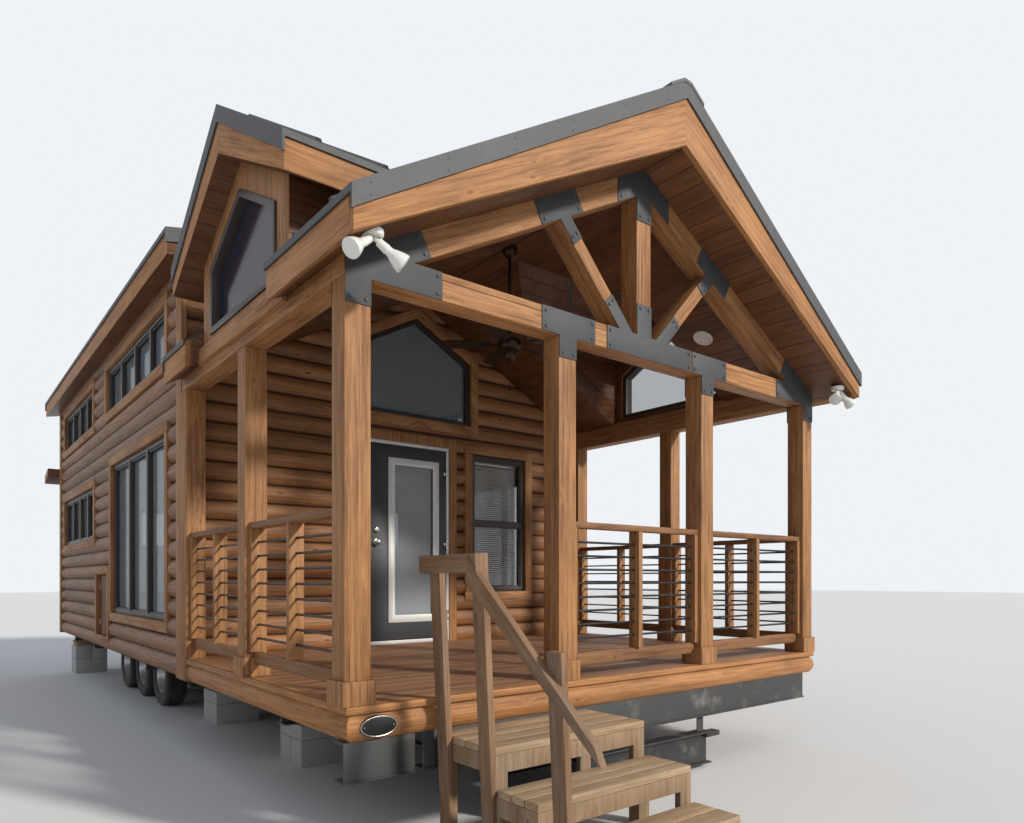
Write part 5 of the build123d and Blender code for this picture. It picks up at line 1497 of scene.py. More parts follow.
@dataclass
class Windows:
    """Window casings of separate boards, framed sashes, glass and a blind."""

    casing: float = 0.089
    proud: float = 0.046
    frame: float = 0.044
    mullion: float = 0.050
    sash: float = 0.016
    sash_depth: float = 0.022
    sash_back: float = 0.024
    ease: float = 0.004
    frame_ease: float = 0.0025
    slat: float = 0.022
    slat_tilt: float = -38.0
    slat_half: Point = (0.0, 0.0125, 0.0004)
    blind_depth: float = 0.085
    blind_inset: float = 0.010
    rows: list[WindowRow] = field(default_factory=lambda: [
        WindowRow(wall, HOUSE.porch + start, length, sill, head, panes)
        for wall in ("left", "right")
        for start, length, sill, head, panes in (
            (0.520, 2.250, 0.250, 1.820, 3), (3.820, 2.300, 1.080, 1.700, 4),
            (0.520, 2.500, 2.420, 2.890, 4), (3.870, 2.200, 2.420, 2.890, 4))
    ] + [
        WindowRow("rear", -1.100, 2.200, 1.080, 1.700, 4),
        WindowRow("rear", -0.550, 1.100, 2.500, 2.930, 2),
        WindowRow("front", 0.640, 0.705, 0.480, 1.880, 1, 2),
    ])
    hatch: WindowRow = field(default_factory=lambda: WindowRow(
        "left", HOUSE.porch + 2.990, 0.620, -0.030, 0.660, 0))

    def place(self, wall: str, along: float, out: float, z: float) -> Vector:
        """Point on a wall.

        Args:
            wall: Name of the wall.
            along: Distance along it.
            out: Distance out from its sheathing.
            z: Height above the deck.

        Returns:
            The point.
        """
        sheath = HOUSE.half_width - HOUSE.log_bulge + out
        if wall in ("left", "right"):
            return HOUSE.at(-sheath if wall == "left" else sheath, along, z)
        if wall == "front":
            return HOUSE.at(along, HOUSE.porch + HOUSE.log_bulge - out, z)
        return HOUSE.at(along, HOUSE.rear - HOUSE.log_bulge + out, z)

    def board(self, row: WindowRow, a: float, b: float, low: float, high: float) -> bpy.types.Object:
        """Casing board on a row's wall, between two distances along it and two heights.

        Args:
            row: Row of windows, for its wall.
            a: Start along the wall.
            b: End along the wall.
            low: Lower edge.
            high: Upper edge.

        Returns:
            The board.
        """
        corners = self.place(row.wall, a, 0.0, low), self.place(row.wall, b, self.proud, high)
        lowest = [min(pair) for pair in zip(*corners)]
        highest = [max(pair) for pair in zip(*corners)]
        return Bench.box(f"{row.wall}_board", lowest, highest, self.ease)

    def casings(self) -> None:
        """Nail four boards round each row, with the head and sill over the ends of the sides."""
        upright, level_x, level_y = [], [], []
        for row in [*self.rows, self.hatch]:
            a, b, c = row.start, row.start + row.length, self.casing
            for low, high in ((row.sill - c, row.sill), (row.head, row.head + c)):
                board = self.board(row, a - c, b + c, low, high)
                (level_y if row.wall in ("left", "right") else level_x).append(board)
            for start in (a - c, b):
                upright.append(self.board(row, start, start + c, row.sill, row.head))
        dress(Bench.join("casing_sides", upright), STAIN_Z, stands_for=["window_casings"])
        dress(Bench.join("casing_heads_along", level_y), STAIN_Y)
        dress(Bench.join("casing_heads_across", level_x), STAIN_X)

    def gable_casing(self) -> None:
        """Boards round the five-cornered window over the door, cut from its node."""
        piece = Bench.from_node("window_casings", "gable_casing", self.ease)
        wall = HOUSE.at(0.0, HOUSE.porch - 0.02, 0.0).y
        floor = HOUSE.at(0.0, 0.0, 2.0).z
        Bench.keep(piece, lambda at: at.z > floor and wall < at.y < wall + 0.08 and abs(at.x) < 0.9)
        dress(piece, STAIN_SLOPE)

    def ring(self, name: str, width: float, height: float, thick: float) -> bpy.types.Object:
        """Upright sash ring in the X-Z plane, its low left corner at the origin.

        Args:
            name: Name of the ring.
            width: Width of its outside.
            height: Height of its outside.
            thick: Depth, towards -Y.

        Returns:
            The ring.
        """
        Bench.clear()
        bpy.ops.mesh.primitive_plane_add(size=1.0, location=(width / 2, 0.0, height / 2),
                                         rotation=(math.pi / 2, 0.0, 0.0))
        piece = bpy.context.object
        piece.name = name
        piece.scale = (width, height, 1.0)
        bpy.ops.object.transform_apply(location=True, rotation=True, scale=True)
        Bench.edit(piece)
        bpy.ops.mesh.inset(thickness=self.sash)
        bpy.ops.mesh.delete(type="FACE")
        bpy.ops.mesh.select_all(action="SELECT")
        bpy.ops.mesh.extrude_region_move(TRANSFORM_OT_translate={"value": (0.0, -thick, 0.0)})
        bpy.ops.mesh.select_all(action="SELECT")
        bpy.ops.mesh.normals_make_consistent(inside=False)
        return Bench.done(piece)

    def sashes(self) -> None:
        """Set a slim sash ring round every pane, just before its glass."""
        rings = []
        turns = {"front": 0.0, "rear": math.pi, "left": -math.pi / 2, "right": math.pi / 2}
        for row in self.rows:
            low, high = row.sill + self.frame, row.head - self.frame
            middle = (low + high) / 2
            spans = [(low, high)]
            if row.rows == 2:
                spans = [(low, middle - self.frame / 2), (middle + self.frame / 2, high)]
            pitch = (row.length - 2 * self.frame + self.mullion) / row.panes
            width = pitch - self.mullion
            sash = self.ring("sash_rings", width, spans[0][1] - spans[0][0], self.sash_depth)
            moves = []
            for i in range(row.panes):
                start = row.start + self.frame + pitch * i
                corner = start if row.wall in ("front", "right") else start + width
                for bottom, _ in spans:
                    spot = self.place(row.wall, corner, -self.sash_back, bottom)
                    moves.append(Matrix.Translation(spot) @ Matrix.Rotation(turns[row.wall], 4, "Z"))
            rings += Bench.copies(sash, moves)
        dress(Bench.join("sash_rings", rings), BRONZE)

    def blind(self) -> None:
        """Hang a slatted blind behind the front window."""
        row = self.rows[-1]
        inset = self.frame + self.blind_inset
        a, b = row.start + inset, row.start + row.length - inset
        depth = HOUSE.porch + HOUSE.log_bulge + self.blind_depth
        top = row.head - self.frame - 0.04
        half = self.slat_half
        slat = Bench.box("blind_slats", (a, -half[1], -half[2]), (b, half[1], half[2]), 0.0)
        count = int((top - row.sill - self.frame) / self.slat)
        tilt = Matrix.Rotation(math.radians(self.slat_tilt), 4, "X")
        moves = [HOUSE.move(0.0, depth, top - self.slat * (i + 1)) @ tilt for i in range(count)]
        slats = Bench.copies(slat, moves)
        low, high = HOUSE.at(a, depth - 0.013, top), HOUSE.at(b, depth + 0.013, top + 0.03)
        slats.append(Bench.box("blind_rail", low, high))
        for x in (a + 0.10, b - 0.10):
            low = HOUSE.at(x - 0.001, depth - 0.014, row.sill + 0.06)
            high = HOUSE.at(x + 0.001, depth - 0.012, top)
            slats.append(Bench.box("blind_cord", low, high, 0.0))
        dress(Bench.join("blind_slats", slats), WHITE)

    def build(self) -> None:
        """Dress frames and glass, then add casings, sashes and the blind."""
        self.casings()
        self.gable_casing()
        for node in ("window_frames", "dormer_window_frames"):
            stand_in(node, BRONZE, self.frame_ease)
        self.sashes()
        self.blind()
        panes = stand_in("window_glass", GLASS, name="window_panes")
        low, high = HOUSE.at(0.60, HOUSE.porch - 0.1, 0.4), HOUSE.at(1.40, HOUSE.porch + 0.3, 1.9)
        porch = low.y
        second_finish(panes, BLIND_GLASS,
                      lambda face: all(a < c < b for a, c, b in zip(low, face.center, high)))
        # The dormer panes take the glass with a painted sky reflection.
        second_finish(panes, DORMER_GLASS_SKY, lambda face: face.center.y < porch)


@dataclass
class Hinge:
    """Butt hinge of three knuckles about Z, its leaf to one hand and its open side towards -Y."""

    radius: float
    height: float
    leaf_reach: float
    frame_reach: float
    hand: float = -1.0
    plate: float = 0.003
    play: float = 0.0005
    rounding: float = 0.001
    plate_ease: float = 0.0006
    screw: float = 0.0035
    screw_height: float = 0.0012

    def half(self, name: str, knuckles: Sequence[int], reach: float) -> bpy.types.Object:
        """Some of its knuckles with the plates that they are rolled from.

        Args:
            name: Name of the half.
            knuckles: Which of the three, from the bottom up.
            reach: How far the plates go from the axis, to the side that its sign gives.

        Returns:
            The half.
        """
        third, r = self.height / 3, self.radius
        parts = []
        for number in knuckles:
            low = -self.height / 2 + number * third + self.play
            high = low + third - 2 * self.play
            ease = min(self.rounding, r / 4)
            stations = [(low, r - ease), (low + ease, r), (high - ease, r), (high, r - ease)]
            parts.append(Bench.turned(name, stations, 24))
            a, b = sorted((0.0, reach))
            parts.append(Bench.box(name, (a, r - self.plate, low), (b, r, high), self.plate_ease))
            if abs(reach) > 3 * r:
                spot = Vector((reach * 0.7, r - self.plate, (low + high) / 2))
                facing_out = Vector((0.0, -1.0, 0.0))
                parts.append(studs(name, [spot], facing_out, self.screw, self.screw_height, 12))
        return Bench.join(name, parts)

    def hang(self, name: str, places: Sequence[Matrix]) -> tuple[bpy.types.Object, bpy.types.Object]:
        """Copies of both halves at each place.

        Args:
            name: Name of the halves.
            places: Where each hinge's middle goes, and how it is turned.

        Returns:
            The halves that turn and the halves that stay, each as one piece.
        """
        turning = self.half(f"{name}_turning", (1,), self.hand * self.leaf_reach)
        staying = self.half(f"{name}_staying", (0, 2), -self.hand * self.frame_reach)
        return (Bench.join(f"{name}_turning", Bench.copies(turning, places)),
                Bench.join(f"{name}_staying", Bench.copies(staying, places)))


@dataclass
class Doors:
    """Glazed front door with its frame, and the small service door in the left wall."""

    ease: float = 0.003
    casing_ease: float = 0.004
    casing_head: float = 1.895
    knob_x: float = -0.448
    knob_z: float = 0.950
    bolt_above: float = 0.115
    proud: float = 0.038
    thick: float = 0.044
    sill: float = 0.038
    height: float = 1.824
    hinge_x: float = 0.3235
    hinge_shares: tuple[float, ...] = (0.12, 0.5, 0.88)
    hinge: Hinge = field(default_factory=lambda: Hinge(0.009, 0.100, 0.030, 0.030))
    knob: Profile = ((0.0, 0.032), (0.004, 0.0325), (0.007, 0.031), (0.010, 0.024), (0.012, 0.013),
                     (0.026, 0.012), (0.031, 0.016), (0.036, 0.0235), (0.042, 0.0270), (0.050, 0.0265),
                     (0.056, 0.021), (0.0595, 0.012), (0.060, 0.003))
    bolt: Profile = ((0.0, 0.0325), (0.006, 0.032), (0.010, 0.029), (0.016, 0.028), (0.019, 0.024),
                     (0.0215, 0.014), (0.022, 0.003))
    slats: int = 16
    slat_pitch: float = 0.0032
    slat_start: float = 0.027
    hatch_y: float = 6.4365
    hatch_low: float = -0.023
    hatch_height: float = 0.676
    hatch_shares: tuple[float, ...] = (0.2, 0.8)
    hatch_hinge: Hinge = field(default_factory=lambda: Hinge(0.003, 0.060, 0.012, 0.0035, 1.0))

    def fittings(self) -> None:
        """Turn the knobs and the deadbolts for both faces of the leaf, and hang its hinges."""
        sheath = HOUSE.porch + HOUSE.log_bulge
        pieces = []
        for face, away in ((self.proud, -1.0), (self.proud - self.thick, 1.0)):
            turn = facing(Vector((0.0, away, 0.0)))
            for stations, rise in ((self.knob, 0.0), (self.bolt, self.bolt_above)):
                place = HOUSE.move(self.knob_x, sheath - face, self.knob_z + rise) @ turn
                pieces.append(Bench.turned("door_fittings", stations, 32, place))
        axis = sheath - self.proud - self.hinge.radius
        places = [HOUSE.move(self.hinge_x, axis, self.sill + self.height * share)
                  for share in self.hinge_shares]
        turning, staying = self.hinge.hang("door_hinges", places)
        pieces.append(turning)
        dress(Bench.join("door_fittings", pieces), NICKEL, "front_door", ["door_hardware"])
        dress(staying, NICKEL, "house", ["hinge_plates"])

    def raised_blind(self) -> None:
        """Stack the slats of a drawn-up blind behind the head of the door's glass."""
        low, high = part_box("door_glass")
        inner, top = high.y + 0.009, high.z - 0.004
        first = top - self.slat_start
        end = first - self.slat_pitch * self.slats

        def bar(inset: float, deep: float, bottom: float, upper: float, ease: float) -> bpy.types.Object:
            """Bar across the glass, between two heights."""
            return Bench.box("door_blind", (low.x + inset, inner - deep, bottom),
                             (high.x - inset, inner + deep, upper), ease)

        rail = bar(0.006, 0.007, top - 0.022, top, 0.003)
        slat = bar(0.010, 0.006, -0.0005, 0.0005, 0.0)
        moves = [Matrix.Translation((0.0, 0.0, first - self.slat_pitch * i)) for i in range(self.slats)]
        foot = bar(0.008, 0.006, end - 0.010, end, 0.003)
        blind = Bench.join("door_blind", [rail, foot, *Bench.copies(slat, moves)])
        dress(blind, WHITE, "front_door")

    def hatch(self) -> None:
        """Dress the service door without its solid hinges, and hang it on turned ones."""
        sheath = HOUSE.half_width - HOUSE.log_bulge
        hatch = Bench.from_node("service_door", "service_door_eased")
        face = -sheath - 0.0003
        Bench.keep(hatch, lambda at: at.x > face)
        dress(hatch, HATCH_BOARDS, "service_door", ["service_door"])
        turn = Matrix.Rotation(-math.pi / 2, 4, "Z")
        axis = -sheath - self.hatch_hinge.radius
        places = [HOUSE.move(axis, self.hatch_y, self.hatch_low + self.hatch_height * share) @ turn
                  for share in self.hatch_shares]
        turning, staying = self.hatch_hinge.hang("hatch_hinges", places)
        dress(turning, NICKEL, "service_door", ["service_door"])
        dress(staying, NICKEL, "house", ["hinge_plates"])

    def build(self) -> None:
        """Ease and dress each leaf, frame and fitting."""
        casing = stand_in("door_casing", STAIN_Z, self.casing_ease)
        head = HOUSE.at(0.0, 0.0, self.casing_head).z
        second_finish(casing, STAIN_X, lambda face: face.center.z > head)
        stand_in("door_jamb", WHITE, self.ease)
        stand_in("door_leaf", DOOR_GREY, self.ease, body="front_door")
        stand_in("door_lite_frame", WHITE, self.casing_ease, "door_lite_eased", "front_door")
        self.fittings()
        self.raised_blind()
        coat("door_glass", DOOR_GLASS)
        self.hatch()


@dataclass
class CeilingFan:
    """Ceiling fan: canopy, rod and housings, with five blades on forged irons."""

    y: float = 1.430
    blade_z: float = 2.4997
    blades: int = 5
    radius: float = 0.540
    pitch: float = 12.0
    corner: float = 0.035
    rod: float = 0.013
    beads: int = 34
    bead_pitch: float = 0.0062
    bead: Profile = ((-0.003, 0.001), (-0.0015, 0.0028), (0.0015, 0.0028), (0.003, 0.001))

    def fixed(self) -> None:
        """Turn the canopy, rod, switch cup and pull chain that stay still."""
        place = HOUSE.move(0.0, self.y, 0.0)
        ridge, low = HOUSE.ceiling - 0.012, self.blade_z - 0.045
        canopy = [(ridge - 0.085, 0.016), (ridge - 0.080, 0.030), (ridge - 0.045, 0.056),
                  (ridge - 0.012, 0.062), (ridge, 0.058)]
        cup = [(low - 0.082, 0.012), (low - 0.080, 0.030), (low - 0.060, 0.048), (low - 0.030, 0.055),
               (low - 0.022, 0.054), (low - 0.020, 0.013)]
        parts = [
            Bench.turned("fan_stem", canopy, 32, place),
            Bench.turned("fan_stem", [(low - 0.025, self.rod), (ridge, self.rod)], 16, place),
            Bench.turned("fan_stem", cup, 32, place),
        ]
        bead = Bench.turned("fan_stem", self.bead, 8)
        first = low - 0.085
        parts += Bench.copies(bead, [place @ Matrix.Translation((0.0, 0.0, first - i * self.bead_pitch))
                                     for i in range(self.beads)])
        end = first - self.beads * self.bead_pitch
        knob = [(end - 0.030, 0.003), (end - 0.026, 0.006), (end - 0.008, 0.005), (end, 0.002)]
        parts.append(Bench.turned("fan_stem", knob, 12, place))
        dress(Bench.join("fan_stem", parts), FAN_BRONZE, stands_for=["fan_mount"])

    def blade(self) -> bpy.types.Object:
        """One pitched blade with rounded corners, along +X from the hub.

        Returns:
            The blade.
        """
        piece = Bench.box("fan_blades", (0.150, -0.060, -0.003), (self.radius - 0.001, 0.060, 0.003), 0.0)
        Bench.edit(piece)
        Bench.pick_edges(piece, lambda a, b: abs(a.z - b.z) > 0.004)
        bpy.ops.mesh.bevel(offset=self.corner, segments=6, affect="EDGES")
        bpy.ops.object.mode_set(mode="OBJECT")
        piece.data.transform(Matrix.Rotation(math.radians(self.pitch), 4, "X"))
        return Bench.done(piece)

    def rotor(self) -> None:
        """Turn the motor housing and copy an iron and a blade round it."""
        place = HOUSE.move(0.0, self.y, 0.0)
        low, high = self.blade_z - 0.043, self.blade_z + 0.059
        housing = [(low, 0.060), (low, 0.074), (low + 0.012, 0.084), (low + 0.030, 0.094),
                   (high - 0.035, 0.094), (high - 0.022, 0.088), (high - 0.018, 0.091), (high - 0.008, 0.074),
                   (high, 0.060)]
        motor = Bench.turned("fan_motor", housing, 40, place)
        iron = Bench.box("fan_motor", (0.085, -0.017, -0.010), (0.235, 0.017, -0.004), 0.002)
        turns = [place @ Matrix.Translation((0.0, 0.0, self.blade_z))
                 @ Matrix.Rotation(2 * math.pi * i / self.blades, 4, "Z") for i in range(self.blades)]
        pitch = Matrix.Rotation(math.radians(self.pitch), 4, "X")
        irons = Bench.copies(iron, [turn @ pitch for turn in turns])
        dress(Bench.join("fan_motor", [motor, *irons]), FAN_BRONZE, "fan_rotor", ["fan_rotor"])
        blades = Bench.join("fan_blades", Bench.copies(self.blade(), turns))
        dress(blades, BLADE, "fan_rotor", ["fan_rotor"])

    def build(self) -> None:
        """Make what stays and what turns."""
        self.fixed()
        self.rotor()


@dataclass
class FloodLamps:
    """Pair of white reflector lamps on a round base under each front corner of the porch roof."""

    x: float = 2.110
    y: float = -0.215
    length: float = 0.180
    drop: float = 0.025
    aim: Point = (1.0, -0.35, -0.8)
    base: Profile = ((-0.028, 0.020), (-0.028, 0.046), (-0.022, 0.050), (0.0, 0.050))

    def build(self) -> None:
        """Turn one base and one lamp, and copy them to each corner."""
        top = HOUSE.ceiling - HOUSE.soffit_slope * self.x
        base = Bench.turned("flood_bases", self.base, 32)
        end = self.length
        bulb = [(0.010, 0.010), (0.030, 0.011), (0.032, 0.019), (0.070, 0.022), (0.078, 0.023),
                (0.084, 0.021), (0.100, 0.022), (0.116, 0.030), (end - 0.032, 0.042), (end - 0.014, 0.046),
                (end - 0.008, 0.047), (end - 0.004, 0.044), (end - 0.006, 0.040), (end - 0.001, 0.024),
                (end, 0.004)]
        lamp = Bench.turned("flood_bulbs", bulb, 32)
        bases, lamps = [], []
        for side in SIDES:
            bases.append(HOUSE.move(side * self.x, self.y, top + 0.004))
            start = HOUSE.move(side * self.x, self.y, top - self.drop)
            for hand in SIDES:
                run = Vector((hand * self.aim[0], *self.aim[1:])).normalized()
                lamps.append(start @ facing(run))
        pieces = [*Bench.copies(base, bases), *Bench.copies(lamp, lamps)]
        dress(Bench.join("flood_lamps", pieces), LAMP_WHITE, stands_for=["flood_lights"])


@dataclass
class Chassis:
    """Painted steel frame, with its axles and springs."""

    ease: float = 0.0015
    steel: tuple[str, ...] = ("chassis_rails", "chassis_crossmembers", "front_channel", "hitch_bar",
                              "axles", "leaf_springs")

    def build(self) -> None:
        """Ease and dress the steel."""
        for node in self.steel:
            stand_in(node, CHASSIS, self.ease)


@dataclass
class Piers:
    """Stacked concrete blocks with a solid cap and timber shims on each."""

    block: float = 0.194
    wide: float = 0.400
    joint: float = 0.006
    shim: float = 0.038
    shim_step: float = 0.004
    ease: float = 0.006
    shim_ease: float = 0.003
    rails: tuple[float, ...] = (2.050, 4.000, 7.830)
    rail_x: float = 1.380
    rail_low: float = -0.373
    corner: tuple[float, float, float] = (1.800, 9.080, -0.285)

    def stack(self, top: float) -> tuple[list[bpy.types.Object], list[bpy.types.Object]]:
        """One pier over the origin, up to a height above the ground.

        Args:
            top: Height of its top.

        Returns:
            Its blocks and its shims.
        """
        half, slit = self.wide / 2, self.joint / 2
        room = top - 2 * self.shim
        courses = int(room / self.block)
        rest = room - courses * self.block
        rise = self.block if rest > self.shim else room / courses
        name, blocks, shims = "pier_blocks_laid", [], []
        for course in range(courses):
            low, high = course * rise, (course + 1) * rise - self.joint / 3
            for side in SIDES:
                a, b = sorted((side * slit, side * half))
                start, end = ((a, -half), (b, half)) if course % 2 else ((-half, a), (half, b))
                blocks.append(Bench.box(name, (*start, low), (*end, high), self.ease))
        if rest > self.shim:
            low = courses * rise
            blocks.append(Bench.box(name, (-half, -half, low), (half, half, low + rest), self.ease))
        for layer in range(2):
            low = top - (2 - layer) * self.shim
            reach = half - self.shim_step * (1 + layer)
            x, y = (reach, reach * 0.8) if layer else (reach * 0.9, reach)
            shims.append(Bench.box("pier_shims", (-x, -y, low), (x, y, low + self.shim), self.shim_ease))
        return blocks, shims

    def build(self) -> None:
        """Set a pier at each place under the chassis."""
        spots = [(side * self.rail_x, y, self.rail_low) for side in SIDES for y in self.rails]
        spots += [(side * self.corner[0], *self.corner[1:]) for side in SIDES]
        blocks, shims = [], []
        for x, y, top in spots:
            laid, packed = self.stack(HOUSE.deck + top)
            for pieces, kept in ((laid, blocks), (packed, shims)):
                for piece in pieces:
                    piece.data.transform(HOUSE.move(x, y, -HOUSE.deck))
                kept += pieces
        dress(Bench.join("pier_blocks_laid", blocks), BLOCK, stands_for=["pier_blocks"])
        dress(Bench.join("pier_shims", shims), JOIST, stands_for=["pier_blocks"])


@dataclass
class Wheels:
    """Tyres with grooved treads on dished rims with nuts."""

    x: float = 1.625
    rows: tuple[float, ...] = (5.260, 6.100, 6.940)
    radius: float = 0.330
    width: float = 0.205
    rim: float = 0.190
    shoulder: float = 0.036
    grooves: tuple[float, ...] = (-0.042, 0.0, 0.042)
    groove: float = 0.007
    groove_depth: float = 0.008
    slant: float = 0.001
    nuts: int = 6
    nut_circle: float = 0.086
    nut: Profile = ((0.010, 0.013), (0.026, 0.0125), (0.032, 0.008))
    dish: float = 0.178
    lip: float = 0.0875

    def tyre(self) -> bpy.types.Object:
        """Tyre about the X axis, spun from a rounded section with grooves across its tread.

        Returns:
            The tyre.
        """
        Bench.clear()
        middle = (self.radius + self.rim) / 2
        bpy.ops.mesh.primitive_plane_add(size=1.0, location=(0.0, middle, 0.0))
        piece = bpy.context.object
        piece.name = "tyre_treads"
        piece.scale = (self.width, self.radius - self.rim, 1.0)
        bpy.ops.object.transform_apply(location=True, rotation=True, scale=True)
        Bench.edit(piece)
        bpy.ops.mesh.bevel(offset=self.shoulder, segments=4, affect="VERTICES")
        cuts = [x + side * reach for x in self.grooves for side in SIDES
                for reach in (self.groove / 2, self.groove / 2 + self.slant)]
        for x in cuts:
            Bench.edit(piece)
            bpy.ops.mesh.bisect(plane_co=(x, 0.0, 0.0), plane_no=(1.0, 0.0, 0.0))
        cut = self.groove / 2 + self.slant / 2
        Bench.pick_vertices(piece, lambda at: at.y > self.radius - 0.001
                            and min(abs(at.x - x) for x in self.grooves) < cut)
        bpy.ops.transform.translate(value=(0.0, -self.groove_depth, 0.0))
        inner = (self.radius - self.rim) * 0.8
        Bench.pick_edges(piece, lambda a, b: abs(a.y - b.y) > inner)
        bpy.ops.mesh.delete(type="EDGE")
        bpy.ops.mesh.select_all(action="SELECT")
        bpy.ops.mesh.spin(steps=56, angle=2 * math.pi, center=(0.0, 0.0, 0.0), axis=(1.0, 0.0, 0.0))
        bpy.ops.mesh.select_all(action="SELECT")
        bpy.ops.mesh.remove_doubles(threshold=0.0001)
        bpy.ops.mesh.normals_make_consistent(inside=False)
        return Bench.done(piece)

    def hub(self) -> bpy.types.Object:
        """Rim about the X axis, with its dish, its hub cap and a ring of nuts.

        Returns:
            The rim.
        """
        dish, lip = self.dish, self.lip
        section = [(-0.012, 0.030), (-0.012, dish - 0.004), (-0.020, dish), (-lip, dish), (-lip, self.rim),
                   (lip - 0.006, self.rim), (lip, self.rim - 0.003), (lip, dish + 0.002),
                   (lip - 0.010, dish - 0.004), (0.020, dish - 0.012), (0.004, dish - 0.022),
                   (0.0, dish - 0.034), (0.006, 0.115), (0.012, 0.100), (0.012, 0.072), (0.006, 0.068),
                   (0.004, 0.056), (0.038, 0.052), (0.043, 0.046), (0.045, 0.030)]
        turn = Matrix.Rotation(math.pi / 2, 4, "Y")
        rim = Bench.turned("wheel_hubs", section, 56, turn)
        nut = Bench.turned("wheel_hubs", self.nut, 6)
        moves = []
        for i in range(self.nuts):
            angle = 2 * math.pi * i / self.nuts
            spot = (self.nut_circle * math.cos(angle), self.nut_circle * math.sin(angle), 0.0)
            moves.append(turn @ Matrix.Translation(spot))
        return Bench.join("wheel_hubs", [rim, *Bench.copies(nut, moves)])

    def build(self) -> None:
        """Spin one tyre and turn one rim, and copy them to every axle end."""
        moves = []
        for side in SIDES:
            for y in self.rows:
                spot = HOUSE.move(side * self.x, y, self.radius - HOUSE.deck)
                moves.append(spot if side > 0 else spot @ Matrix.Rotation(math.pi, 4, "Z"))
        tyres = Bench.join("tyre_treads", Bench.copies(self.tyre(), moves))
        dress(tyres, TYRE, stands_for=["tyres"])
        rims = Bench.join("wheel_hubs", Bench.copies(self.hub(), moves))
        dress(rims, RIM_SILVER, stands_for=["wheel_rims"])


@dataclass
class Stair:
    """Weathered timber stair with its leaning handrail."""

    ease: float = 0.005
    side: float = -1.600
    stud: float = 0.038
    lean: float = 3.0
    pivot: float = -0.2255
    turn_y: float = -0.400
    near: float = 0.0015

    def handrail(self) -> None:
        """Ease the handrail, and run the grain along its level and its sloping board."""
        piece = Bench.from_node("stair_handrail", "stair_handrail_eased", self.ease)
        turn = HOUSE.at(0.0, self.turn_y, 0.0).y
        Bench.edit(piece)
        bpy.ops.mesh.bisect(plane_co=(0.0, turn, 0.0), plane_no=(0.0, 1.0, 0.0))
        Bench.done(piece)
        dress(piece, HANDRAIL_Z, stands_for=["stair_handrail"])
        upright = Matrix.Rotation(math.radians(self.lean), 4, "Y")
        foot = HOUSE.at(self.side, 0.0, self.pivot)

        def boarded(face: bpy.types.MeshPolygon) -> bool:
            """True for the faces of the two boards outside the posts."""
            out = (upright @ (face.center - foot)).x + self.stud
            return out < -self.near or (abs(out) < self.near and face.normal.x > 0.5)

        second_finish(piece, HANDRAIL_Y, lambda face: boarded(face) and face.center.y > turn)
        second_finish(piece, HANDRAIL_DOWN, lambda face: boarded(face) and face.center.y < turn)

    def build(self) -> None:
        """Ease and dress treads, frames and rail."""
        self.handrail()
        for node, finish in (("stair_treads", STAIR_X), ("stair_frame", STAIR_Z)):
            stand_in(node, finish, self.ease)


@dataclass
class Floors:
    """Planked floors inside the house."""

    def build(self) -> None:
        """Dress the floor and the loft."""
        for node in ("house_floor", "loft_floor"):
            coat(node, FLOORING)


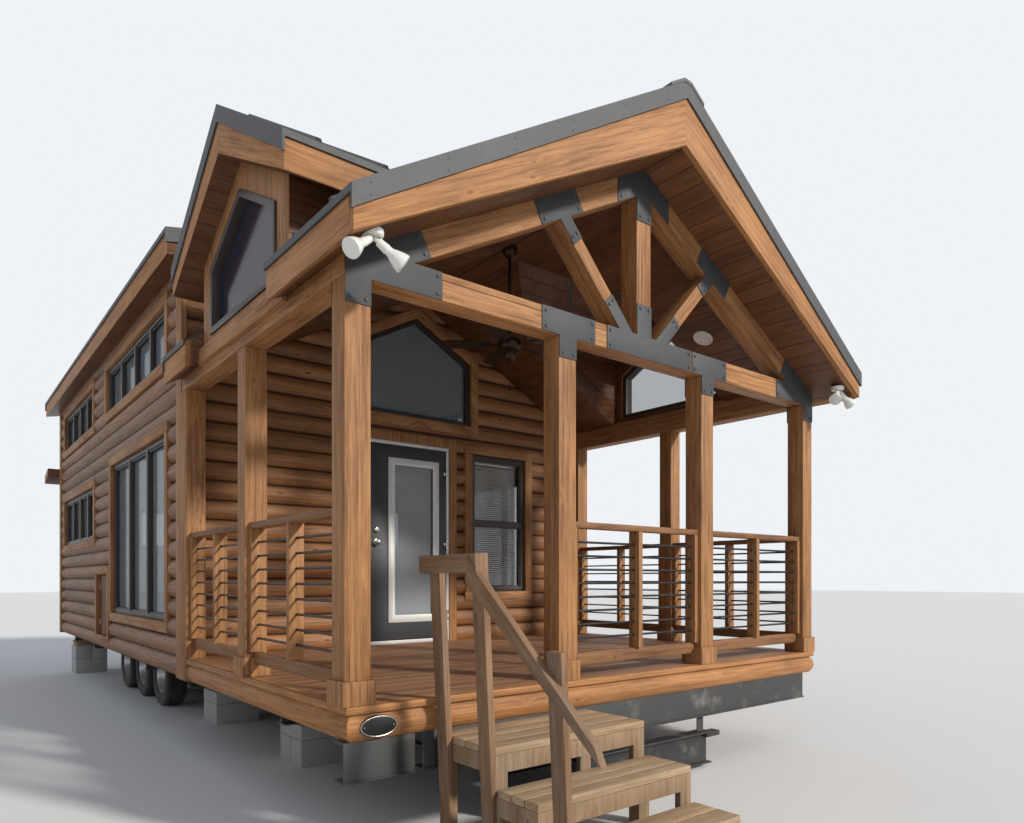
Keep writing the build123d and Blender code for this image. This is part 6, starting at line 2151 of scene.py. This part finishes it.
@dataclass
class Studio:
    """Camera at the photograph's place, soft light, and a plain pale floor."""

    picture: tuple[int, int] = (1024, 823)
    lens_pixels: float = 724.24
    horizon: float = 579.0
    eye: Point = (-3.670, -3.139, 0.608)
    heading: float = 38.96
    sensor: float = 36.0
    sun_energy: float = 3.1
    sun_turn: tuple[float, float] = (63.0, 24.0)
    sun_soft: float = 6.0
    sun_colour: Colour = (1.0, 0.955, 0.89)
    fill: float = 0.50
    fill_colour: Colour = (0.80, 0.88, 1.0)
    sky_colour: Colour = (0.86, 0.89, 0.93)
    floor_colour: Colour = (0.80, 0.79, 0.77)
    floor_size: float = 160.0

    def camera(self) -> None:
        """Create the camera, level, with the shift that its framing needs."""
        wide, high = self.picture
        data = bpy.data.cameras.new("camera")
        data.sensor_fit = "HORIZONTAL"
        data.sensor_width = self.sensor
        data.lens = self.lens_pixels / wide * self.sensor
        data.shift_y = (self.horizon - high / 2) / wide
        camera = bpy.data.objects.new("camera", data)
        camera.location = HOUSE.at(*self.eye)
        camera.rotation_euler = (math.pi / 2, 0.0, -math.radians(self.heading))
        bpy.context.scene.collection.objects.link(camera)
        bpy.context.scene.camera = camera

    def light(self) -> None:
        """Add a soft sun from the right of the porch."""
        data = bpy.data.lights.new("sun", "SUN")
        data.energy = self.sun_energy
        data.angle = math.radians(self.sun_soft)
        data.color = self.sun_colour
        sun = bpy.data.objects.new("sun", data)
        tilt, turn = self.sun_turn
        sun.rotation_euler = (math.radians(tilt), 0.0, math.radians(turn))
        bpy.context.scene.collection.objects.link(sun)

    def sky(self) -> None:
        """Light the scene from all round, and show a paler sky to the camera and in gloss and glass."""
        world = bpy.data.worlds.new("sky")
        world.use_nodes = True
        bpy.context.scene.world = world
        nodes = Nodes(world.node_tree)
        fill = nodes.tree.nodes["Background"]
        fill.inputs["Color"].default_value = (*self.fill_colour, 1.0)
        fill.inputs["Strength"].default_value = self.fill
        pale = nodes.node("ShaderNodeBackground", inputs={"Color": (*self.sky_colour, 1.0)})
        ray = nodes.node("ShaderNodeLightPath", output="Is Camera Ray")
        seen = ray.larger(ray.beside("Is Transmission Ray")).larger(ray.beside("Is Glossy Ray"))
        mix = nodes.node("ShaderNodeMixShader", inputs={0: seen, 1: Wire(nodes, fill.outputs[0]), 2: pale})
        nodes.tree.links.new(mix.socket, nodes.tree.nodes["World Output"].inputs[0])

    def floor(self) -> None:
        """Lay a wide pale floor under the house."""
        Bench.clear()
        bpy.ops.mesh.primitive_plane_add(size=self.floor_size)
        floor = bpy.context.object
        floor.name = "floor"
        finish = Paint("pale_floor", self.floor_colour, rough=0.9, grit=0.05, worn=0.0, depth=0.0)
        floor.data.materials.append(finish.material())

    def build(self) -> None:
        """Set up the view."""
        bpy.context.scene.view_settings.view_transform = "Standard"
        self.camera()
        self.light()
        self.sky()
        self.floor()


def main() -> None:
    """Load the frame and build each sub-assembly in order."""
    logging.basicConfig(level=logging.INFO, format="%(name)s: %(message)s")
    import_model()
    Studio().build()
    for assembly in (LogWalls, Joinery, TrussPlates, Railings, Deck, Badge, Roofs, CeilingLights, Windows,
                     Doors, CeilingFan, FloodLamps, Chassis, Piers, Wheels, Stair, Floors):
        log.info("building %s", assembly.__name__)
        assembly().build()


if __name__ == "__main__":
    main()
